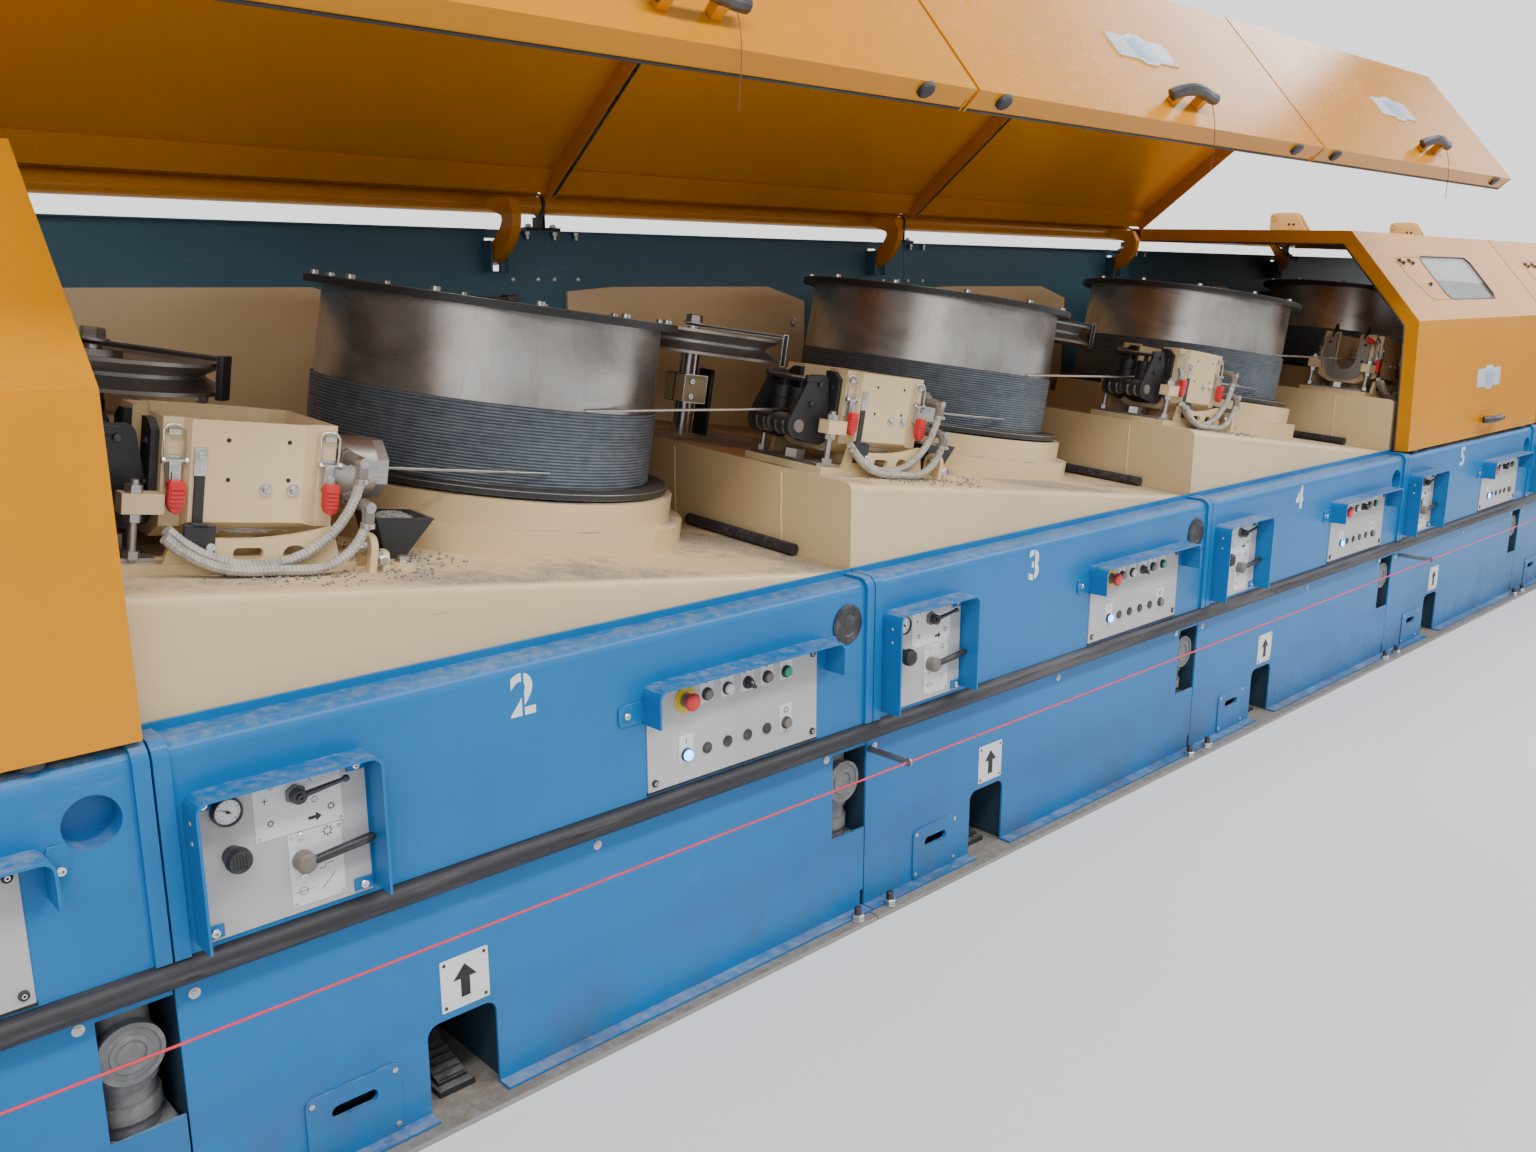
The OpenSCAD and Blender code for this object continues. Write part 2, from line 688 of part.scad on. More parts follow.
module die_holders() {
    color(steel) for (k = [0:units - 1]) bay(k) on_bed(box_x, die_y) {
        difference() {
            translate([box_l / 2 + 0.3, 0, die_h]) rotate([0, 90, 0]) {
                cylinder(d = die_d, h = die_l);
                translate([0, 0, die_l]) rotate(22.5) cylinder(d = die_d + 2, h = 24, $fn = 8);
            }
            translate([box_l / 2 - 1, 0, die_h]) rotate([0, 90, 0]) cylinder(d = wire_d + 1, h = die_l + 40);
        }
        for (i = [0:1]) translate([fit_x[i], -36, fit_z[i] + hose_d / 2]) rotate([90, 0, 0])
            cylinder(d = hose_d, h = -hose_y + i * hose_s + hose_d / 2 - 36);
        translate([-box_l / 2 - 82, -box_w / 2 + 4, 18]) cube([76, box_w - 8, 8]);
        translate([stud_u, 0, 25]) cylinder(d = 60, h = 23, $fn = 6);
        if (cassette_at[k] == 0) inlet_plate();
        for (s = [-1, 1]) translate([stud_u, s * stud_v, 0]) {
            translate([0, 0, 20]) cylinder(d = stud_d, h = 142);
            for (z = [25, 89.5, 139.5]) translate([0, 0, z]) cylinder(d = 30, h = 14, $fn = 6);
        }
    }
}

// Outline of the plate on the box's inlet side, seen along the wire
module inlet_outline(cut) {
    w = box_w / 2 - box_step - 14;
    difference() {
        polygon([[-w, 128], [-w + 34, 78], [-28, 66], [28, 66], [w - 34, 78], [w, 128], [w, box_top - 26],
            [w - 22, box_top - 8], [-w + 22, box_top - 8], [-w, box_top - 26]]);
        polygon(concat([[-cut / 2, box_top + 40]], arc(0, slot_low + cut / 2, cut / 2, 180, 360, 12),
            [[cut / 2, box_top + 40]]));
    }
}

// A cassette's side plate: an upright back edge and a slanting front that ends round the roller's pin
module cassette_side() {
    polygon(concat(arc(0, 0, 34, 156, 262, 8), arc(84, -14, 34, 262, 366, 8), arc(72, 114, 20, 6, 90, 5),
        arc(38, 114, 18, 90, 156, 4)));
}

// The roller that carries the wire, with a groove round its middle
module groove_roller() {
    rotate_extrude() polygon([[0, -3], [9, -3], [9, 2], [roll_r - 3, 2], [roll_r, 5], [roll_r, gap_w / 2 - 9],
        [roll_r - 5, gap_w / 2 - 5], [roll_r - 5, gap_w / 2 + 5], [roll_r, gap_w / 2 + 9], [roll_r, gap_w - 5],
        [roll_r - 3, gap_w - 2], [9, gap_w - 2], [9, gap_w + 3], [0, gap_w + 3]]);
}

module inlet_plate() {
    translate([-box_l / 2 - plate_c - 0.3, 0, 0]) rotate([90, 0, 90]) linear_extrude(plate_c) inlet_outline(slot_u);
}

module roller_cassettes() {
    x = -box_l / 2 - 122;
    z = wire_h(x) - wire_d / 2 - roll_r - 1;
    color(dark) for (k = [0:units - 1]) if (cassette_at[k] == 1) bay(k) on_bed(box_x, die_y) {
        inlet_plate();
        for (s = [0, 1]) translate([x, -gap_w / 2 + s * (gap_w + 10), z]) rotate([90, 0, 0])
            linear_extrude(10) cassette_side();
        translate([x, gap_w / 2, z]) rotate([90, 0, 0]) groove_roller();
        for (s = [-1, 1]) translate([x + 36, wire_v(x + 36) + s * (roll_r + wire_d / 2 + 1), z + roll_r + 2])
            rotate_extrude() polygon([[0, 0], [roll_r, 0], [roll_r, 30], [roll_r - 2, 32], [roll_r, 34], [roll_r, 64],
                [8, 64], [8, 85], [0, 85]]);
        translate([x + 8, -gap_w / 2 - 2, z + 112]) cube([62, gap_w + 4, 10]);
    }
}

module toggle_latches() {
    e = box_w / 2 - box_step;
    color(steel) bays() on_bed(box_x, die_y) for (u = [-box_l / 2 + box_ear / 2 + 1, box_l / 2 - box_ear / 2 + 2])
        for (s = [0, 1]) translate([u, 0, 0]) rotate(180 * s) translate([0, -e, 0]) {
            translate([-15, -4.3, 156]) cube([30, 4, 72]);
            translate([-11, -18.3, 150]) cube([22, 16, 48]);
            translate([-14, -34.3, 108]) cube([28, 16, 50]);
        }
}

// A bend of hose in an upright plane: centre, radius and the angles where it starts and ends
module hose_bend(x, z, r, a0, a1) {
    translate([x, 0, z]) rotate([90, 0, 0]) mirror([0, 0, 1]) rotate(a0)
        rotate_extrude(angle = a1 - a0) translate([r, 0]) circle(d = hose_d);
}

// A hose that sags from a fitting, runs level for a way and rises behind the stud
module hose(x, high, low, flat, rise, turn) {
    r = high - low;
    hose_bend(x - r, high, r, 270, 360);
    if (flat > 0) translate([x - r - flat + seat_gap, 0, low]) rotate([0, 90, 0])
        cylinder(d = hose_d, h = flat - 2 * seat_gap);
    hose_bend(x - r - flat, low + rise, rise, 270 - turn, 270);
}

module cooling_hoses() {
    color("#b5b0a5") bays() on_bed(box_x, die_y) {
        translate([0, hose_y, 0]) hose(fit_x[0], fit_z[0], hose_d / 2 + 6, 0, 225, 45);
        translate([0, hose_y - hose_s, 0]) hose(fit_x[1], fit_z[1], hose_d / 2 + 2, 107, 208, 45);
    }
}

module chip_trays() {
    color(dark) bays() on_bed(box_x + box_l / 2 + 172, die_y - 20)
        difference() {
            rotate([90, 0, 0]) translate([0, 0, -50]) linear_extrude(100) polygon([[-30, 0], [2, 0], [66, 88], [-62, 88]]);
            rotate([90, 0, 0]) translate([0, 0, -46]) linear_extrude(92) polygon([[-25, 8], [-2, 8], [60, 90], [-56, 90]]);
        }
}

module pulley_posts() {
    low = pulley_h - pulley_t / 2;
    top = pulley_h + pulley_t / 2 + 8;
    color(steel) bays() on_bed(post_x, post_y) {
        rotate_extrude() polygon([[0, 0], [post_d / 2, 0], [post_d / 2, low - 6], [axle_d / 2 + 8, low - 6],
            [axle_d / 2 + 8, low - 0.5], [axle_d / 2, low - 0.5], [axle_d / 2, top + 4], [0, top + 4]]);
        translate([-45, -45, 98]) cube([90, 90, 86]);
        rotate(keeper_a) {
            translate([-26, -20, top]) cube([pulley_r + 40, 40, 8]);
            translate([pulley_r + 8, -22, low - 6]) cube([14, 44, pulley_t + 26]);
        }
    }
}

module hinge_bearings() {
    color(dark) {
        translate([-units / 2 * pitch, front_y + hinge_y, hinge_z]) rotate([0, 90, 0]) cylinder(d = shaft_d, h = units * pitch);
        for (k = [0:units]) {
            x = (k - units / 2) * pitch;
            w = hood_gap - 2 * 1.5;
            translate([x - w / 2, front_y, 0]) difference() {
                union() {
                    translate([0, hinge_y, hinge_z]) rotate([0, 90, 0]) cylinder(d = tube_d + 8, h = w);
                    translate([0, block_depth, wall_top]) cube([w, hinge_back + 10, hinge_z - wall_top]);
                }
            }
        }
    }
}

// The hood's path in y and z, from the lower edge of its front up and back to the hinge tube
hood_path = [[0, hood_low], [14, hood_fold], [hood_slant + 14, hood_high],
    [hinge_y - 12, hinge_z + tube_d / 2 - 4]];

// Turns what is drawn for a closed hood up to its rest angle
module raised(k) {
    translate([0, hinge_y, hinge_z]) rotate([-hood_open * open_at[k], 0, 0]) translate([0, -hinge_y, -hinge_z]) children();
}

module hood_arm() {
    closed = hood_open;
    translate([arm_x - 15, hinge_y, hinge_z]) rotate([closed, 0, 0]) rotate([90, 0, 90]) linear_extrude(30)
        polygon(concat([[-20, 12], [-20, -12], [-112, -42]], arc(0, 0, 128, 205, 262, 8), arc(0, 0, 186, 262, 203, 10), [[-176, -40], [-150, 6]]));
}

module hood(k) {
    color(amber) bay(k) raised(k) {
        difference() {
            union() {
                along_x(hood_gap / 2, pitch - hood_gap / 2, strip(hood_path, -hood_t));
                for (x = [hood_gap / 2, pitch - hood_gap / 2 - 4])
                    along_x(x, x + 4, strip([hood_path[0], hood_path[1], hood_path[2], hood_path[3] - [60, 3]], -hood_rim));
                translate([hood_gap / 2, 1, hood_low]) cube([hood_len, 30, 5]);
                translate([hood_gap / 2, hinge_y, hinge_z]) rotate([0, 90, 0]) cylinder(d = tube_d, h = hood_len);
                hood_arm();
            }
            translate([0, hinge_y, hinge_z]) rotate([0, 90, 0]) cylinder(d = shaft_d + 2 * pin_gap, h = pitch);
            window_cut(0);
        }
    }
}

window_l = 620;
window_w = 250;
slant_a = atan2(hood_high - hood_fold, hood_slant);

// The window's place on the slanted panel: x from the block's left seam, y up the slant
module on_slant() {
    translate([0, 14, hood_fold]) rotate([slant_a, 0, 0]) children();
}

module window_cut(grow) {
    c = 30;
    x0 = pitch / 2 - window_l / 2;
    on_slant() translate([0, 0, -hood_t - 1]) linear_extrude(hood_t + 2)
        translate([x0, 110]) polygon([[c, 0], [window_l - c, 0], [window_l, c], [window_l, window_w - c],
            [window_l - c, window_w], [c, window_w], [0, window_w - c], [0, c]]);
}

module window(k) {
    color([0.5, 0.55, 0.58, 0.5]) bay(k) raised(k) on_slant()
        translate([pitch / 2 - window_l / 2 - 14, 96, -hood_t - 4 - seat_gap]) cube([window_l + 28, window_w + 28, 4]);
}

module drum(k) {
    bore = spindle_d / 2 + pin_gap;
    top_r = drum_r - drum_taper;
    color(steel) bay(k) on_bed(cap_x, cap_y) rotate_extrude($fn = 120) polygon([
        [bore, ring_low + 30], [bore, drum_top + 2], [bore + 40, drum_top + 2], [bore + 40, drum_top],
        [top_r - 60, drum_top], [top_r - 60, drum_top + flange_t], [top_r + flange_reach, drum_top + flange_t],
        [top_r + flange_reach, drum_top], [top_r, drum_top], [drum_r, coil_high], [drum_r, ring_low + 14],
        [drum_r + 56, ring_low + 14], [drum_r + 56, ring_low], [drum_r - drum_wall, ring_low],
        [drum_r - drum_wall, drum_top - 30], [bore + 50, drum_top - 30], [bore + 50, ring_low + 30]]);
}

// The wound wire: a stack of round turns that touch, seen in section
module coil(k) {
    step = (coil_high - coil_low) / turns;
    r = wire_d / 2;
    color("#5f6670") bay(k) on_bed(cap_x, cap_y) rotate_extrude($fn = 120) polygon(concat(
        [[drum_r + 0.3, coil_high], [drum_r + 0.3, coil_low]],
        [for (i = [0:turns - 1]) for (a = [-62:31:62])
            [drum_r + r + r * cos(a), coil_low + (i + 0.5) * step + r * sin(a)]]));
}

module pulley(k) {
    bore = axle_d / 2 + pin_gap;
    h = pulley_t / 2;
    color(steel) bay(k) on_bed(post_x, post_y) translate([0, 0, pulley_h]) rotate_extrude($fn = 120) polygon([
        [bore, -h], [bore, h], [bore + 40, h], [bore + 40, 16], [pulley_r - groove - 30, 16], [pulley_r - 14, h],
        [pulley_r, h], [pulley_r, h - 8], [pulley_r - groove, 4], [pulley_r - groove, -4], [pulley_r, 8 - h],
        [pulley_r, -h], [pulley_r - 14, -h], [pulley_r - groove - 30, -16], [bore + 40, -16], [bore + 40, -h]]);
}

// A straight length of wire between two points
module wire_run(a, b) {
    d = b - a;
    translate(a) rotate([0, acos(d[2] / norm(d)), atan2(d[1], d[0])]) cylinder(d = wire_d, h = norm(d), $fn = 16);
}

module drawn_wire() {
    u1 = at_die(on_bed_point(cap_x, cap_y, 0, 0, 0))[0] - 80;
    color("#b8b8b4") for (k = [0:units - 1]) bay(k) {
        if (k < units - 1) wire_run(wire_off, on_bed_point(box_x, die_y, box_l / 2 - 0.3, 0, die_h) + [pitch, 0, 0]);
        wire_run(on_bed_point(box_x, die_y, box_l / 2 + 1, 0, die_h), on_bed_point(box_x, die_y, u1, 0, die_h));
    }
}

base_plates();
inner_frames();
lower_panels();
upper_housings();
end_panels();
rear_panels();
back_wall();
cream_beds();
back_plates();
pedestals();
bumper_rail();
pull_cord();
cord_rods();
drain_pipes();
foot_pedals();
arrow_plates();
panel_plates();
panel_shrouds();
lever_controls();
push_buttons();
die_boxes();
die_cradles();
die_holders();
roller_cassettes();
toggle_latches();
cooling_hoses();
chip_trays();
pulley_posts();
hinge_bearings();
drawn_wire();
hood(0);  // hood_1
hood(1);  // hood_2
hood(2);  // hood_3
hood(3);  // hood_4
hood(4);  // hood_5
hood(5);  // hood_6
window(0);  // window_1
window(1);  // window_2
window(2);  // window_3
window(3);  // window_4
window(4);  // window_5
window(5);  // window_6
drum(0);  // drum_1
drum(1);  // drum_2
drum(2);  // drum_3
drum(3);  // drum_4
drum(4);  // drum_5
drum(5);  // drum_6
coil(0);  // coil_1
coil(1);  // coil_2
coil(2);  // coil_3
coil(3);  // coil_4
coil(4);  // coil_5
coil(5);  // coil_6
pulley(0);  // pulley_1
pulley(1);  // pulley_2
pulley(2);  // pulley_3
pulley(3);  // pulley_4
pulley(4);  // pulley_5
pulley(5);  // pulley_6
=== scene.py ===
import math
import random
from contextlib import contextmanager

import bpy
from mathutils import Matrix, Vector


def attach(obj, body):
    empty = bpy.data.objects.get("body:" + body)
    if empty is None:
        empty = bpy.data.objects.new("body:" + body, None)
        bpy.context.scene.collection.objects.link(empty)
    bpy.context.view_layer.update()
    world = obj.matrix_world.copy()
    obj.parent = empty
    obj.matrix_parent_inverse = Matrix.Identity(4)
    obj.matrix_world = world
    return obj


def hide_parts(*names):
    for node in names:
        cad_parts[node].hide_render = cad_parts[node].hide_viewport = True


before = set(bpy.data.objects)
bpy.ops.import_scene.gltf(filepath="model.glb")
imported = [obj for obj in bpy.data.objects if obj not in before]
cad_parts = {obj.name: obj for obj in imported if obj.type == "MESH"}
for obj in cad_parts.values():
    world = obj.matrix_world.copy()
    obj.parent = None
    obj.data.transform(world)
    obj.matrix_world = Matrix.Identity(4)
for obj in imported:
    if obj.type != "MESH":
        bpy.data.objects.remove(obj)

bl_info = {
    "name": "Wire Drawing Line",
    "version": (1, 0, 0),
    "blender": (4, 5, 0),
    "location": "3D View > Sidebar > Wire Line",
    "description": "Dresses a row of wire drawing blocks with paint, drums, die boxes, panels and hoods",
    "category": "Object",
}

# The line's own measures, in metres, as its construction has them
UNITS = 6
PITCH = 1.7
FRONT = -0.6765
DEPTH = 1.385
BED_TOP = 1.13
BED_SET = 0.08
BED_SIDE = math.radians(7.5)
BED_FRONT = math.radians(3.7)
BED_TIP = math.atan(math.tan(BED_FRONT) * math.cos(BED_SIDE))
CAP = (1.058, 0.782)
COIL_LOW, WIRE_R = 0.144, 0.0035
DIE = (0.272, 0.3645)
WIRE_UP, WIRE_FROM, WIRE_TO = 0.178, 0.157, 0.708
POST = (0.224, 1.013)
HINGE = (1.415, 1.850)
END_FACE = 5.1045
REAR_FACE = 1.398
CORD = (0.118, 0.450)
OPEN = (0, 39, 39, 39, 0, 0)
HOOD_LOW = 0.914
FOLD = (0.014, 1.462)
SLANT = math.atan2(0.374, 0.318)
HOOD_LINE = ((0.0, 0.918), (0.014, 1.462), (0.332, 1.836), (1.330, 1.874))
PLATE = 0.003
PRINTED = 0.0014
BUTTON_X, BUTTON_STEP = 1.091, 0.061
TOP_ROW, LOW_ROW = 0.729, 0.603
GAUGE, KNOB = (0.105, 0.765), (0.110, 0.683)
UPPER_LEVER, LOWER_LEVER = (0.222, 0.761), (0.226, 0.637)
HANDLE, BADGE = (0.950, 0.078), (0.925, 0.272)
WITH_CASSETTE, WITH_FINS = range(4), (4, 5)
ARROW = (0.532, 0.275)
SKY_LIGHT, BACKDROP_LIGHT = 0.34, 1.6
VIEW_FROM, VIEW_DOWN, VIEW_TURN = (-3.982, -2.7105, 1.610), 12.97, -43.41


def seam(k):
    """Where block k starts along the line."""
    return (k - UNITS / 2) * PITCH


def bed_height(x, y):
    return BED_TOP - math.tan(BED_SIDE) * x + math.tan(BED_FRONT) * (y - BED_SET)


def on_floor(k, x, y, z):
    return Matrix.Translation((seam(k) + x, FRONT + y, z))


def on_front(k, x, z, out=0.0):
    """A frame on the front face: x along the line, y up, z towards the operator."""
    return Matrix.Translation((seam(k) + x, FRONT - out, z)) @ Matrix.Rotation(math.pi / 2, 4, "X")


def on_bed(k, x, y, z=0.0):
    """A frame that stands square on the sloping bed."""
    turn = Matrix.Rotation(BED_SIDE, 4, "Y") @ Matrix.Rotation(BED_TIP, 4, "X")
    place = Matrix.Translation((seam(k) + x, FRONT + y, bed_height(x, y)))
    return place @ turn @ Matrix.Translation((0, 0, z))


def on_hood(k):
    """Takes a closed hood's place to where hood k stands at rest."""
    hinge = Matrix.Translation((0, FRONT + HINGE[0], HINGE[1]))
    return hinge @ Matrix.Rotation(-math.radians(OPEN[k]), 4, "X") @ hinge.inverted()


def on_slant(k, x, up):
    """A frame on a hood's slanted panel: x along the line, y up the slant, z outwards."""
    place = Matrix.Translation((seam(k) + x, FRONT + FOLD[0], FOLD[1]))
    return on_hood(k) @ place @ Matrix.Rotation(SLANT, 4, "X") @ Matrix.Translation((0, up, 0))


# finishes

class Value:
    """A socket inside a finish, so that shader maths reads as plain sums."""

    def __init__(self, finish, socket):
        self.finish = finish
        self.socket = socket

    def maths(self, operation, *terms):
        return self.finish.node("ShaderNodeMath", {"operation": operation}, dict(enumerate(terms)))

    def __add__(self, other):
        return self.maths("ADD", self, other)

    def __radd__(self, other):
        return self.maths("ADD", other, self)

    def __sub__(self, other):
        return self.maths("SUBTRACT", self, other)

    def __rsub__(self, other):
        return self.maths("SUBTRACT", other, self)

    def __mul__(self, other):
        return self.maths("MULTIPLY", self, other)

    def between(self, low, high):
        """0 below low, 1 above high, and a soft step between."""
        return self.finish.node("ShaderNodeMapRange", {"interpolation_type": "SMOOTHSTEP"},
                                {0: self, 1: low, 2: high})


class Finish:
    """One material under construction, with its shader and the patterns that it uses."""

    def __init__(self, name, colour, roughness=0.5, metallic=0.0, **sockets):
        self.material = bpy.data.materials.new(name)
        self.material.use_nodes = True
        self.material.diffuse_color = (*colour, 1.0)
        self.tree = self.material.node_tree
        self.shader = self.tree.nodes["Principled BSDF"]
        self.set("Base Color", (*colour, 1.0))
        self.set("Roughness", roughness)
        self.set("Metallic", metallic)
        for socket, value in sockets.items():
            self.set(socket.replace("_", " "), value)
        self.coordinates = self.node("ShaderNodeTexCoord", {}, {}, "Object")

    def node(self, kind, settings, sockets, out=0):
        """Adds any node: its settings first, then the values or links of its sockets."""
        node = self.tree.nodes.new(kind)
        for setting, value in settings.items():
            setattr(node, setting, value)
        for socket, value in sockets.items():
            self.feed(node.inputs[socket], value)
        return Value(self, node.outputs[out])

    def feed(self, socket, value):
        if isinstance(value, Value):
            self.tree.links.new(value.socket, socket)
        else:
            socket.default_value = value

    def set(self, socket, value):
        self.feed(self.shader.inputs[socket], value)
        return self

    def placed(self, stretch=(1, 1, 1), location=(0, 0, 0), rotation=(0, 0, 0)):
        """Object coordinates seen from a place on the piece, then stretched."""
        moved = self.node("ShaderNodeMapping", {"vector_type": "TEXTURE"},
                          {"Vector": self.coordinates, "Location": location, "Rotation": rotation})
        return self.node("ShaderNodeMapping", {}, {"Vector": moved, "Scale": stretch})

    def noise(self, scale, detail=4.0, rough=0.55, where=None, stretch=None, warp=0.0):
        where = where or (self.placed(stretch) if stretch else self.coordinates)
        return self.node("ShaderNodeTexNoise", {}, {"Vector": where, "Scale": scale, "Detail": detail,
                                                    "Roughness": rough, "Distortion": warp})

    def cells(self, scale):
        return self.node("ShaderNodeTexVoronoi", {"feature": "F1"},
                         {"Vector": self.coordinates, "Scale": scale})

    def axis(self, which, vector=None):
        return self.node("ShaderNodeSeparateXYZ", {}, {0: vector or self.coordinates}, which)

    def facing_up(self):
        normal = self.node("ShaderNodeNewGeometry", {}, {}, "Normal")
        return self.axis("Z", normal)

    def mix(self, factor, first, second):
        first = first if isinstance(first, Value) else (*first[:3], 1.0)
        second = second if isinstance(second, Value) else (*second[:3], 1.0)
        return self.node("ShaderNodeMix", {"data_type": "RGBA"}, {0: factor, 6: first, 7: second}, 2)

    def bump(self, height, strength=0.2, distance=0.001):
        relief = self.node("ShaderNodeBump", {}, {"Height": height, "Strength": strength,
                                                  "Distance": distance})
        return self.set("Normal", relief)


def shaded(colour, by):
    return tuple(min(1.0, c * by) for c in colour)


def painted(name, colour, gloss=0.32, dust=(0.42, 0.40, 0.37), dusty=0.5, grime=0.0, chips=None, peel=0.06,
            scuffed=0.14, cloudy=0.10, **sockets):
    """Sprayed machine paint: cloudy tone, settled dust on top faces, rubbed spots and a fine orange peel."""
    f = Finish(name, colour, gloss, 0.0, **sockets)
    cloud = f.noise(1.7, 5, 0.6)
    fine = f.noise(38, 4, 0.7)
    tone = f.mix(cloud.between(0.32, 0.68), shaded(colour, 1.0 - cloudy), shaded(colour, 1.0 + cloudy * 0.7))
    scuff = f.noise(7, 7, 0.75, stretch=(0.5, 2.2, 2.2)).between(0.60, 0.74)
    tone = f.mix(scuff * scuffed, tone, dust)
    settled = f.facing_up().between(0.55, 0.95) * (cloud * 0.6 + fine * 0.7).between(0.50, 0.82)
    tone = f.mix(settled * dusty, tone, dust)
    rough = gloss + fine * 0.12 + scuff * 0.15 + settled * 0.25
    if grime:
        low = 1.0 - f.axis("Z").between(0.0, 0.35)
        soot = low * f.noise(5, 6, 0.7).between(0.35, 0.75)
        tone = f.mix(soot * grime, tone, (0.10, 0.085, 0.07))
        rough = rough + soot * 0.2
    if chips:
        worn = f.noise(13, 8, 0.72).between(0.685, 0.70) * f.noise(2.1, 2, 0.5).between(0.52, 0.60)
        tone = f.mix(worn, tone, chips)
        rough = rough + worn * 0.2
    f.set("Base Color", tone).set("Roughness", rough)
    f.bump(f.noise(420, 2, 0.5), peel, 0.0004)
    return f.material


def dusty_bed(name):
    """The beds' cream paint under drifts of grey soap dust, with rubbed streaks on its upright sides."""
    f = Finish(name, CREAM, 0.32)
    cloud = f.noise(1.3, 5, 0.6)
    tone = f.mix(cloud.between(0.3, 0.7), shaded(CREAM, 0.92), shaded(CREAM, 1.06))
    side = 1.0 - f.facing_up().between(0.30, 0.60)
    smear = f.noise(3.2, 8, 0.75, stretch=(0.45, 1, 1.7)).between(0.54, 0.74)
    tone = f.mix(smear * side * 0.30, tone, (0.44, 0.30, 0.19))
    scratch = f.noise(17, 6, 0.7, stretch=(0.25, 1, 3.5), warp=0.4).between(0.690, 0.705)
    tone = f.mix(scratch * side * 0.8, tone, (0.16, 0.12, 0.09))
    top = f.facing_up().between(0.75, 0.96)
    drift = (f.noise(2.6, 6, 0.66) + f.noise(23, 6, 0.75) * 0.35).between(0.60, 0.80)
    grit = f.noise(150, 3, 0.8).between(0.44, 0.60)
    tone = f.mix(top * drift * 0.75, tone, (0.30, 0.275, 0.25))
    tone = f.mix(top * drift * grit * 0.65, tone, (0.13, 0.12, 0.11))
    f.set("Base Color", tone).set("Roughness", 0.30 + top * 0.35 + smear * side * 0.2)
    f.bump(grit * drift * top + f.noise(420, 2, 0.5) * 0.08, 0.35, 0.0012)
    return f.material


def bare_steel(name, colour, gloss=0.34, stain=(0.16, 0.12, 0.09), stained=0.3, brushed=(1, 1, 12)):
    """Ground or plated steel with fine brush lines and old stains."""
    f = Finish(name, colour, gloss, 1.0)
    lines = f.noise(60, 4, 0.7, stretch=brushed)
    spots = f.noise(9, 6, 0.7).between(0.52, 0.74)
    tone = f.mix(lines.between(0.3, 0.7), shaded(colour, 0.82), shaded(colour, 1.12))
    tone = f.mix(spots * stained, tone, stain)
    f.set("Base Color", tone).set("Roughness", gloss + lines * 0.14 + spots * 0.18)
    f.set("Metallic", 1.0 - spots * stained * 0.5)
    f.bump(lines, 0.05, 0.0003)
    return f.material


def moulded(name, colour, gloss=0.45, dust=(0.36, 0.34, 0.32), dusty=0.25, **sockets):
    """Moulded plastic or rubber, a little dusty."""
    f = Finish(name, colour, gloss, 0.0, **sockets)
    grain = f.noise(26, 6, 0.7)
    film = grain.between(0.45, 0.75) * dusty
    f.set("Base Color", f.mix(film, colour, dust)).set("Roughness", gloss + film * 0.6)
    f.bump(f.noise(600, 2, 0.5), 0.05, 0.0003)
    return f.material


def rubbed_rubber(name):
    """The black rail: scuffed to grey along its outer side, with cuts."""
    f = Finish(name, (0.028, 0.027, 0.030), 0.55)
    streak = f.noise(9, 8, 0.72, stretch=(0.35, 6, 6))
    patch = f.noise(2.3, 4, 0.6, stretch=(0.6, 1, 1))
    worn = (streak * 0.65 + patch * 0.5).between(0.52, 0.72)
    cut = f.noise(30, 3, 0.6, stretch=(0.25, 1, 1)).between(0.66, 0.70)
    tone = f.mix(worn * 0.55, (0.022, 0.021, 0.025), (0.135, 0.125, 0.13))
    f.set("Base Color", f.mix(cut, tone, (0.008, 0.008, 0.008)))
    f.set("Roughness", 0.38 + streak * 0.3)
    f.bump(streak - cut * 0.4, 0.35, 0.0015)
    return f.material


def drum_centre(k):
    return (seam(k) + CAP[0], FRONT + CAP[1], bed_height(*CAP))


def drum_steel(k):
    """Hard polished steel, smoked brown, with drawing lines round it and scratches down it."""
    f = Finish(f"drum_steel_{k + 1}", (0.36, 0.34, 0.33), 0.2, 1.0)
    centre = drum_centre(k)
    turn = (BED_TIP, BED_SIDE, 0.0)
    rings = f.noise(8, 6, 0.75, f.placed((0.25, 0.25, 26), centre, turn))
    smoke = f.noise(3.2, 5, 0.62, f.placed((1, 1, 1.6), centre, turn), warp=0.6)
    runs = f.noise(14, 4, 0.7, f.placed((3.2, 3.2, 0.5), centre, turn))
    height = f.axis("Z", f.placed((1, 1, 1), centre, turn))
    upper = height.between(0.30, 0.52)
    nick = f.noise(9, 5, 0.65, f.placed((6, 6, 1.2), centre, turn)).between(0.70, 0.73)
    tone = f.mix(smoke.between(0.30, 0.70), (0.36, 0.325, 0.30), (0.62, 0.59, 0.56))
    tone = f.mix(runs.between(0.5, 0.85) * 0.35, tone, (0.20, 0.17, 0.15))
    tone = f.mix(rings.between(0.55, 0.85) * 0.25, tone, (0.70, 0.68, 0.66))
    tone = f.mix(upper * 0.22, tone, (0.25, 0.22, 0.20))
    tone = f.mix(nick * 0.7, tone, (0.06, 0.05, 0.045))
    f.set("Base Color", tone)
    f.set("Roughness", 0.24 + rings * 0.07 + smoke.between(0.35, 0.75) * 0.10 + nick * 0.2)
    f.set("Metallic", 0.90)
    f.bump(rings * 0.5 + runs * 0.3, 0.05, 0.0004)
    return f.material


